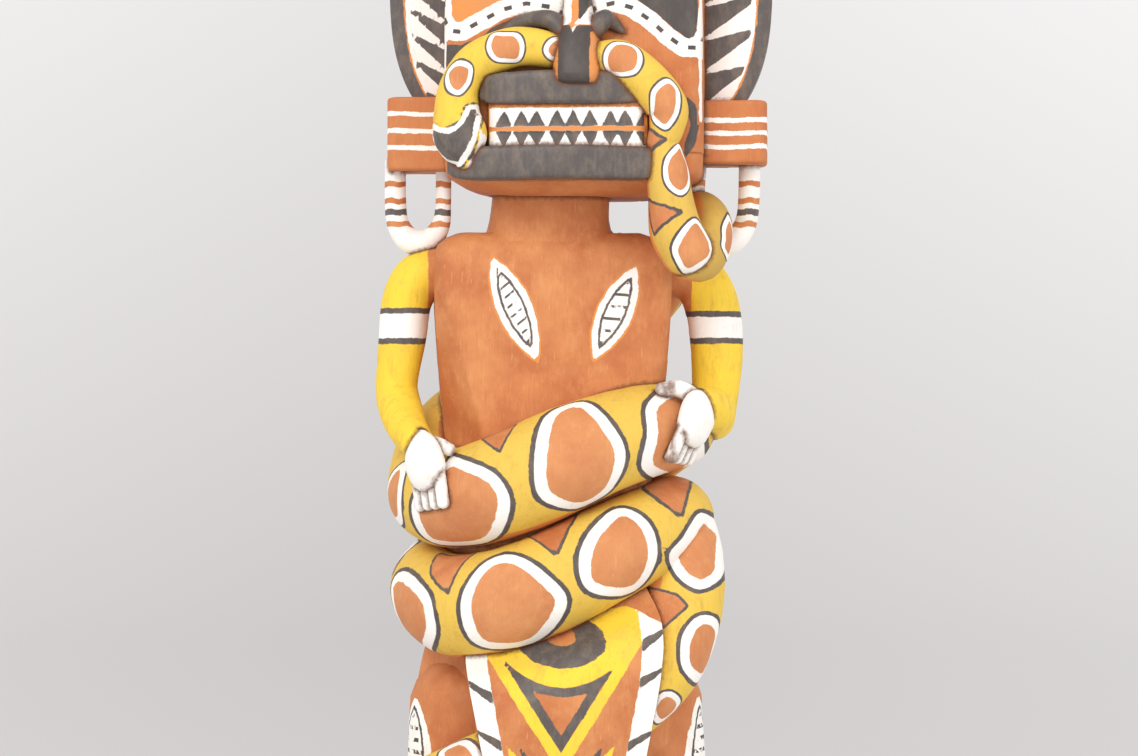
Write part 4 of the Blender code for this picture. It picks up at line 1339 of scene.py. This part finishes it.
# How far a painted edge wanders in mm, how soft it is, how its lines are drawn, and how the surface is raised
brush = {
    "waveDepth": 2.42, "bristleDepth": 0.9, "middle": -1.66, "soft": 0.28, "spotSoft": -0.3,
    "ringSoft": -0.35, "ringWander": -0.35, "coreWorn": 0.22, "baseTone": 0.9, "lineSoft": 0.3,
    "dartLine": (-0.8, 1.2), "bandLine": (0.0, 2.3), "leafLine": (5.6, 0.95),
    "strokeWander": -0.025, "strokeWidthWander": 0.14,
    "chipOnEdge": 1.3, "dirtAndShadeWander": -6.0,
    "flat": 11.0,  # mm across a knife flat
    "bumpStrength": 0.6, "bumpDistance": 0.0011,
}


def srgb(code):
    # A hex colour as it is typed on a screen, in linear light
    values = [int(code[i:i + 2], 16) / 255 for i in (1, 3, 5)]
    return tuple(v / 12.92 if v <= 0.04045 else ((v + 0.055) / 1.055) ** 2.4 for v in values) + (1.0,)


def addNode(tree, kind, links=None, **settings):
    node = tree.nodes.new("ShaderNode" + kind)
    for name, value in settings.items():
        setattr(node, name, value)
    for name, value in (links or {}).items():
        if isinstance(value, bpy.types.Node):
            value = value.outputs[0]
        if isinstance(value, bpy.types.NodeSocket):
            tree.links.new(value, node.inputs[name])
        else:
            node.inputs[name].default_value = value
    return node


def paintedWood():
    # Matte earth paint brushed on a knife-cut softwood log: chalky, streaked along the brush, thin on edges
    material = bpy.data.materials.new("earthPaintOnCarvedWood")
    material.use_nodes = True
    tree = material.node_tree
    tree.nodes.clear()
    place = addNode(tree, "TexCoord").outputs["Object"]
    mm = addNode(tree, "VectorMath", {0: place, "Scale": 1000.0}, operation="SCALE")
    field = {}
    for name, members in fieldGroups.items():
        source = addNode(tree, "Attribute", attribute_name=name, attribute_type="GEOMETRY")
        field.update(zip(members, addNode(tree, "SeparateXYZ", {0: source.outputs["Vector"]}).outputs))

    pattern = {"tone": field["tone"]}
    for name, (size, detail, roughness, distortion, turn) in paintPatterns.items():
        scaled = addNode(tree, "Mapping", {0: mm, "Rotation": turn, "Scale": [1 / length for length in size]})
        pattern[name] = addNode(tree, "TexNoise", {
            "Vector": scaled, "Scale": 1.0, "Detail": detail, "Roughness": roughness,
            "Distortion": distortion,
        }).outputs[0]
    shade = {name: srgb(code) for name, code in paintShades.items()}
    paint = {}
    for name, (first, *layers) in paintMixes.items():
        paint[name] = shade[first]
        for follows, low, high, strength, over in layers:
            amount = addNode(tree, "MapRange", {
                "Value": pattern[follows], "From Min": low, "From Max": high, "To Max": strength})
            paint[name] = addNode(tree, "Mix", {0: amount, 6: paint[name], 7: shade[over]},
                                  data_type="RGBA").outputs[2]
    onBase = addNode(tree, "Math", {0: field["tone"], 1: brush["baseTone"]}, operation="GREATER_THAN")
    paint["red"] = addNode(tree, "Mix", {0: onBase, 6: paint["red"], 7: paint["stained"]},
                           data_type="RGBA").outputs[2]
    paint["core"] = addNode(tree, "Mix", {0: brush["coreWorn"], 6: paint["red"], 7: shade["redOchreWorn"]},
                            data_type="RGBA").outputs[2]

    # A painted edge wanders by slow waves and bristle marks
    waves = addNode(tree, "Math", {0: pattern["wave"], 1: brush["waveDepth"], 2: brush["middle"]},
                    operation="MULTIPLY_ADD")
    shift = addNode(tree, "Math", {0: pattern["bristle"], 1: brush["bristleDepth"], 2: waves},
                    operation="MULTIPLY_ADD")
    turned = addNode(tree, "Math", {0: shift, 1: -1.0}, operation="MULTIPLY")
    uneven = addNode(tree, "Math", {0: shift, 1: brush["ringWander"]}, operation="MULTIPLY")

    def covers(name, limit=0.0, soft=brush["soft"], wander=shift):
        # 1 where a painted area covers, and 0 outside it
        moved = addNode(tree, "Math", {0: field[name], 1: wander}, operation="ADD")
        return addNode(tree, "MapRange", {"Value": moved, "From Min": limit - soft, "From Max": limit + soft})

    def outlines(name, middle, half):
        # 1 on a line of a given half width, where a field passes a level
        away = addNode(tree, "Math", {0: field[name], 1: middle}, operation="SUBTRACT")
        away = addNode(tree, "Math", {0: away, 1: shift}, operation="ADD")
        away = addNode(tree, "Math", {0: away}, operation="ABSOLUTE")
        return addNode(tree, "MapRange", {
            "Value": away, "From Min": half - brush["lineSoft"], "From Max": half + brush["lineSoft"],
            "To Min": 1.0, "To Max": 0.0})

    # Dashes and hatch strokes repeat along a run, chips sit on sharp edges, and dirt with painted shade
    # darkens the seams
    run = addNode(tree, "Math", {0: field["phase"], 1: 0.5}, operation="PINGPONG")
    run = addNode(tree, "Math", {0: field["duty"], 1: 0.5, 2: run}, operation="MULTIPLY_ADD")
    run = addNode(tree, "Math", {0: shift, 1: brush["strokeWander"], 2: run}, operation="MULTIPLY_ADD")
    width = addNode(tree, "Math", {0: field["across"]}, operation="ABSOLUTE")
    width = addNode(tree, "Math", {0: shift, 1: brush["strokeWidthWander"], 2: width},
                    operation="MULTIPLY_ADD")
    sharp = addNode(tree, "Math", {0: field["bend"], 1: brush["chipOnEdge"], 2: pattern["chip"]},
                    operation="MULTIPLY_ADD")
    # The seams are darkened with the dirt colour: dirt and painted shade together
    seamDirtAndShade = addNode(tree, "Math", {0: pattern["chip"], 1: brush["dirtAndShadeWander"], 2: field["crease"]},
                      operation="MULTIPLY_ADD")
    handled = addNode(tree, "Math", {0: pattern["scuff"], 1: field["grime"]}, operation="MULTIPLY")
    # Each mask: what it reads, the two levels, and how much there is at each of them
    mask = {}
    for name, value, low, high, atLow, atHigh in (
        ("inRun", run, 0.485, 0.52, 0, 1), ("inWidth", width, 0.85, 1.15, 1, 0),
        ("wet", pattern["dry"], 0.42, 0.5, 0, 1), ("onLeaf", field["leaf"], 0, 1, 0, 1),
        # the seam mask and the hollows mask darken seams and concave places: dirt with painted shade
        ("chips", sharp, 0.9, 1.02, 0, 0.85), ("dirtAndShade", seamDirtAndShade, -3.0, 0.9, 0.85, 0),
        ("hollows", field["bend"], -0.3, -0.1, 0.55, 0), ("grime", handled, 0.3, 0.52, 0, 0.8),
        ("rubbed", pattern["scuff"], 0.35, 0.7, 0.58, 0.78),
    ):
        mask[name] = addNode(tree, "MapRange", {
            "Value": value, "From Min": low, "From Max": high, "To Min": atLow, "To Max": atHigh})
    kept = addNode(tree, "Mix", {0: mask["onLeaf"], 2: 1.0, 3: mask["wet"]}, data_type="FLOAT")
    strokes = addNode(tree, "Math", {0: mask["inRun"], 1: mask["inWidth"]}, operation="MULTIPLY")
    strokes = addNode(tree, "Math", {0: strokes, 1: kept}, operation="MULTIPLY")

    ring = -snakeShape["outline"]
    white, black = covers("white"), covers("black")
    rings = covers("spot", ring, brush["ringSoft"], uneven)
    colour = paint["red"]
    for amount, name in (
        (covers("tint"), "orange"), (covers("yellow"), "yellow"),
        (covers("dart"), "red"), (outlines("dart", *brush["dartLine"]), "coal"),
        (white, "chalk"), (covers("framed"), "chalk"), (covers("leaf"), "chalk"),
        (covers("spot", 0.0, brush["spotSoft"]), "coal"), (rings, "chalk"),
        (covers("spot", ring - snakeShape["ring"], brush["ringSoft"], turned), "core"),
        (outlines("framed", *brush["bandLine"]), "coal"), (outlines("leaf", *brush["leafLine"]), "coal"),
        # the dark coats at the end: dirt with painted shade in the seams and hollows, grime on the hands
        (black, "coal"), (strokes, "coal"), (mask["chips"], "rawWood"), (mask["dirtAndShade"], "dirtAndShade"),
        (mask["hollows"], "dirtAndShade"), (mask["grime"], "dirtAndShade"),
    ):
        colour = addNode(tree, "Mix", {0: amount, 6: colour, 7: paint[name]}, data_type="RGBA").outputs[2]

    # Paint lies on the wood with a little thickness, over knife flats, grain and bristle marks
    flats = addNode(tree, "TexVoronoi", {"Vector": mm, "Scale": 1 / brush["flat"]}, feature="SMOOTH_F1")
    height = 0.0
    for source, share in (
        (pattern["grain"], 0.10), (pattern["bristle"], 0.10), (pattern["scuff"], 0.22), (flats, 0.25),
        (white, 0.12), (rings, 0.12), (black, 0.06), (mask["chips"], -0.35),
    ):
        height = addNode(tree, "Math", {0: source, 1: share, 2: height}, operation="MULTIPLY_ADD")
    bump = addNode(tree, "Bump", {
        "Height": height, "Strength": brush["bumpStrength"], "Distance": brush["bumpDistance"]})
    rough = addNode(tree, "Mix", {0: black, 2: mask["rubbed"], 3: 0.46}, data_type="FLOAT")
    shader = addNode(tree, "BsdfPrincipled", {
        "Base Color": colour, "Roughness": rough, "Normal": bump, "IOR": 1.45, "Metallic": 0.0,
        "Specular IOR Level": 0.4,
    })
    addNode(tree, "OutputMaterial", {"Surface": shader})
    return material


# Studio

studio = {
    "wallRadius": 7.5, "coveRadius": 2.2, "wallHeight": 7.0, "sides": 96,
    # Painted light: the paper's own colour is darker on the floor and lighter up the wall and out to the
    # sides
    "paperLowShaded": "#CFCDCD", "paperHighLit": "#FAF9FA",  # the paper gets lighter upwards and to the sides
    "paperHeight": 1.9, "paperWidth": 2.2,
    "room": 0.92,
    "lightAim": (0, 0, 0.65),
    # Each light: where it stands, its size, power and colour
    "lights": {
        "keySoftbox": ((-1.3, -2.6, 2.3), 1.6, 52, (1.0, 0.985, 0.96)),
        "fillSoftbox": ((1.9, -2.2, 1.4), 1.8, 22, (1.0, 0.99, 0.98)),
    },
}


def makeStudio():
    wall, cove = studio["wallRadius"], studio["coveRadius"]
    profile = [(0.05, 0)] + [(r, 0) for r in np.linspace(0.6, wall - cove, 8)]
    for angle in np.radians(np.arange(6, 91, 6)):
        profile.append((wall - cove * (1 - math.sin(angle)), cove * (1 - math.cos(angle))))
    profile.append((wall, studio["wallHeight"]))
    sides = studio["sides"]
    points, faces = [], []
    for r, z in profile:
        for angle in np.arange(sides) * 2 * math.pi / sides:
            points.append((r * math.cos(angle), r * math.sin(angle), z - 0.0005))
    for k in range(len(profile) - 1):
        for i in range(sides):
            j = (i + 1) % sides
            faces.append((k * sides + i, (k + 1) * sides + i, (k + 1) * sides + j, k * sides + j))
    faces.append(tuple(reversed(range(sides))))
    mesh = bpy.data.meshes.new("studioSweep")
    mesh.from_pydata(points, [], faces)
    mesh.flip_normals()
    mesh.shade_smooth()
    sweep = bpy.data.objects.new("studioSweep", mesh)
    bpy.context.scene.collection.objects.link(sweep)
    material = bpy.data.materials.new("matteBackdropPaper")  # matte paper: even and without shine
    material.use_nodes = True
    paper = material.node_tree
    shader = paper.nodes["Principled BSDF"]
    # Painted light: the paper's colour is blended from the shaded low tone to the lit high tone by height and
    # sideways distance
    place = addNode(paper, "TexCoord").outputs["Object"]
    parts = addNode(paper, "SeparateXYZ", {0: place}).outputs
    outward = addNode(paper, "Math", {0: parts[0]}, operation="ABSOLUTE")
    outward = addNode(paper, "Math", {0: outward, 1: 0.4 / studio["paperWidth"]}, operation="MULTIPLY")
    rise = addNode(paper, "Math", {0: parts[2], 1: 0.6 / studio["paperHeight"], 2: outward},
                   operation="MULTIPLY_ADD", use_clamp=True)
    tone = addNode(paper, "Mix", {0: rise, 6: srgb(studio["paperLowShaded"]), 7: srgb(studio["paperHighLit"])},
                   data_type="RGBA")
    paper.links.new(tone.outputs[2], shader.inputs["Base Color"])
    shader.inputs["Roughness"].default_value = 0.95
    shader.inputs["Specular IOR Level"].default_value = 0.1
    mesh.materials.append(material)
    sweep.visible_shadow = False
    sweep.visible_diffuse = False

    world = bpy.data.worlds.new("softRoom")
    world.use_nodes = True
    background = world.node_tree.nodes["Background"]
    background.inputs[0].default_value = (1.0, 0.99, 0.98, 1)
    background.inputs[1].default_value = studio["room"]
    bpy.context.scene.world = world
    for name, (place, size, power, tint) in studio["lights"].items():
        light = bpy.data.lights.new(name, "AREA")
        light.size, light.energy, light.color = size, power, tint
        lamp = bpy.data.objects.new(name, light)
        lamp.location = place
        toFigure = Vector(studio["lightAim"]) - Vector(place)
        lamp.rotation_euler = toFigure.to_track_quat("-Z", "Y").to_euler()
        bpy.context.scene.collection.objects.link(lamp)


def makeCamera():
    data = bpy.data.cameras.new("photoCamera")
    data.sensor_width = view["sensor"]
    data.lens = view["sensor"] * view["distance"] / view["frameWidth"]
    camera = bpy.data.objects.new("photoCamera", data)
    a = view["azimuth"]
    target = Vector(view["target"])
    camera.location = target + Vector((math.sin(a), -math.cos(a), 0)) * view["distance"]
    camera.rotation_euler = (math.pi / 2, 0, a)
    bpy.context.scene.collection.objects.link(camera)
    bpy.context.scene.camera = camera


print("laying out the forms")
makeBody()
for side in (-1, 1):
    makeLeg(side)
makeArm("left")
makeArm("right")
makeHead()
makeSnake()
makeApron()
makeBase()

print("joining them into one log")
figurePiece = carve()
print("joined:", len(figurePiece.data.polygons), "faces")

print("laying the paint")
layPaint(figurePiece)
figurePiece.data.materials.clear()
figurePiece.data.materials.append(paintedWood())
figurePiece.data.shade_smooth()
figurePiece.data.set_sharp_from_angle(angle=math.radians(42))
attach(figurePiece, "root")
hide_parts("malangan_carving")

print("studio and camera")
makeStudio()
makeCamera()
bpy.context.scene.view_settings.view_transform = "Standard"

figurePiece.data.calc_loop_triangles()
print("triangles:", len(figurePiece.data.loop_triangles))
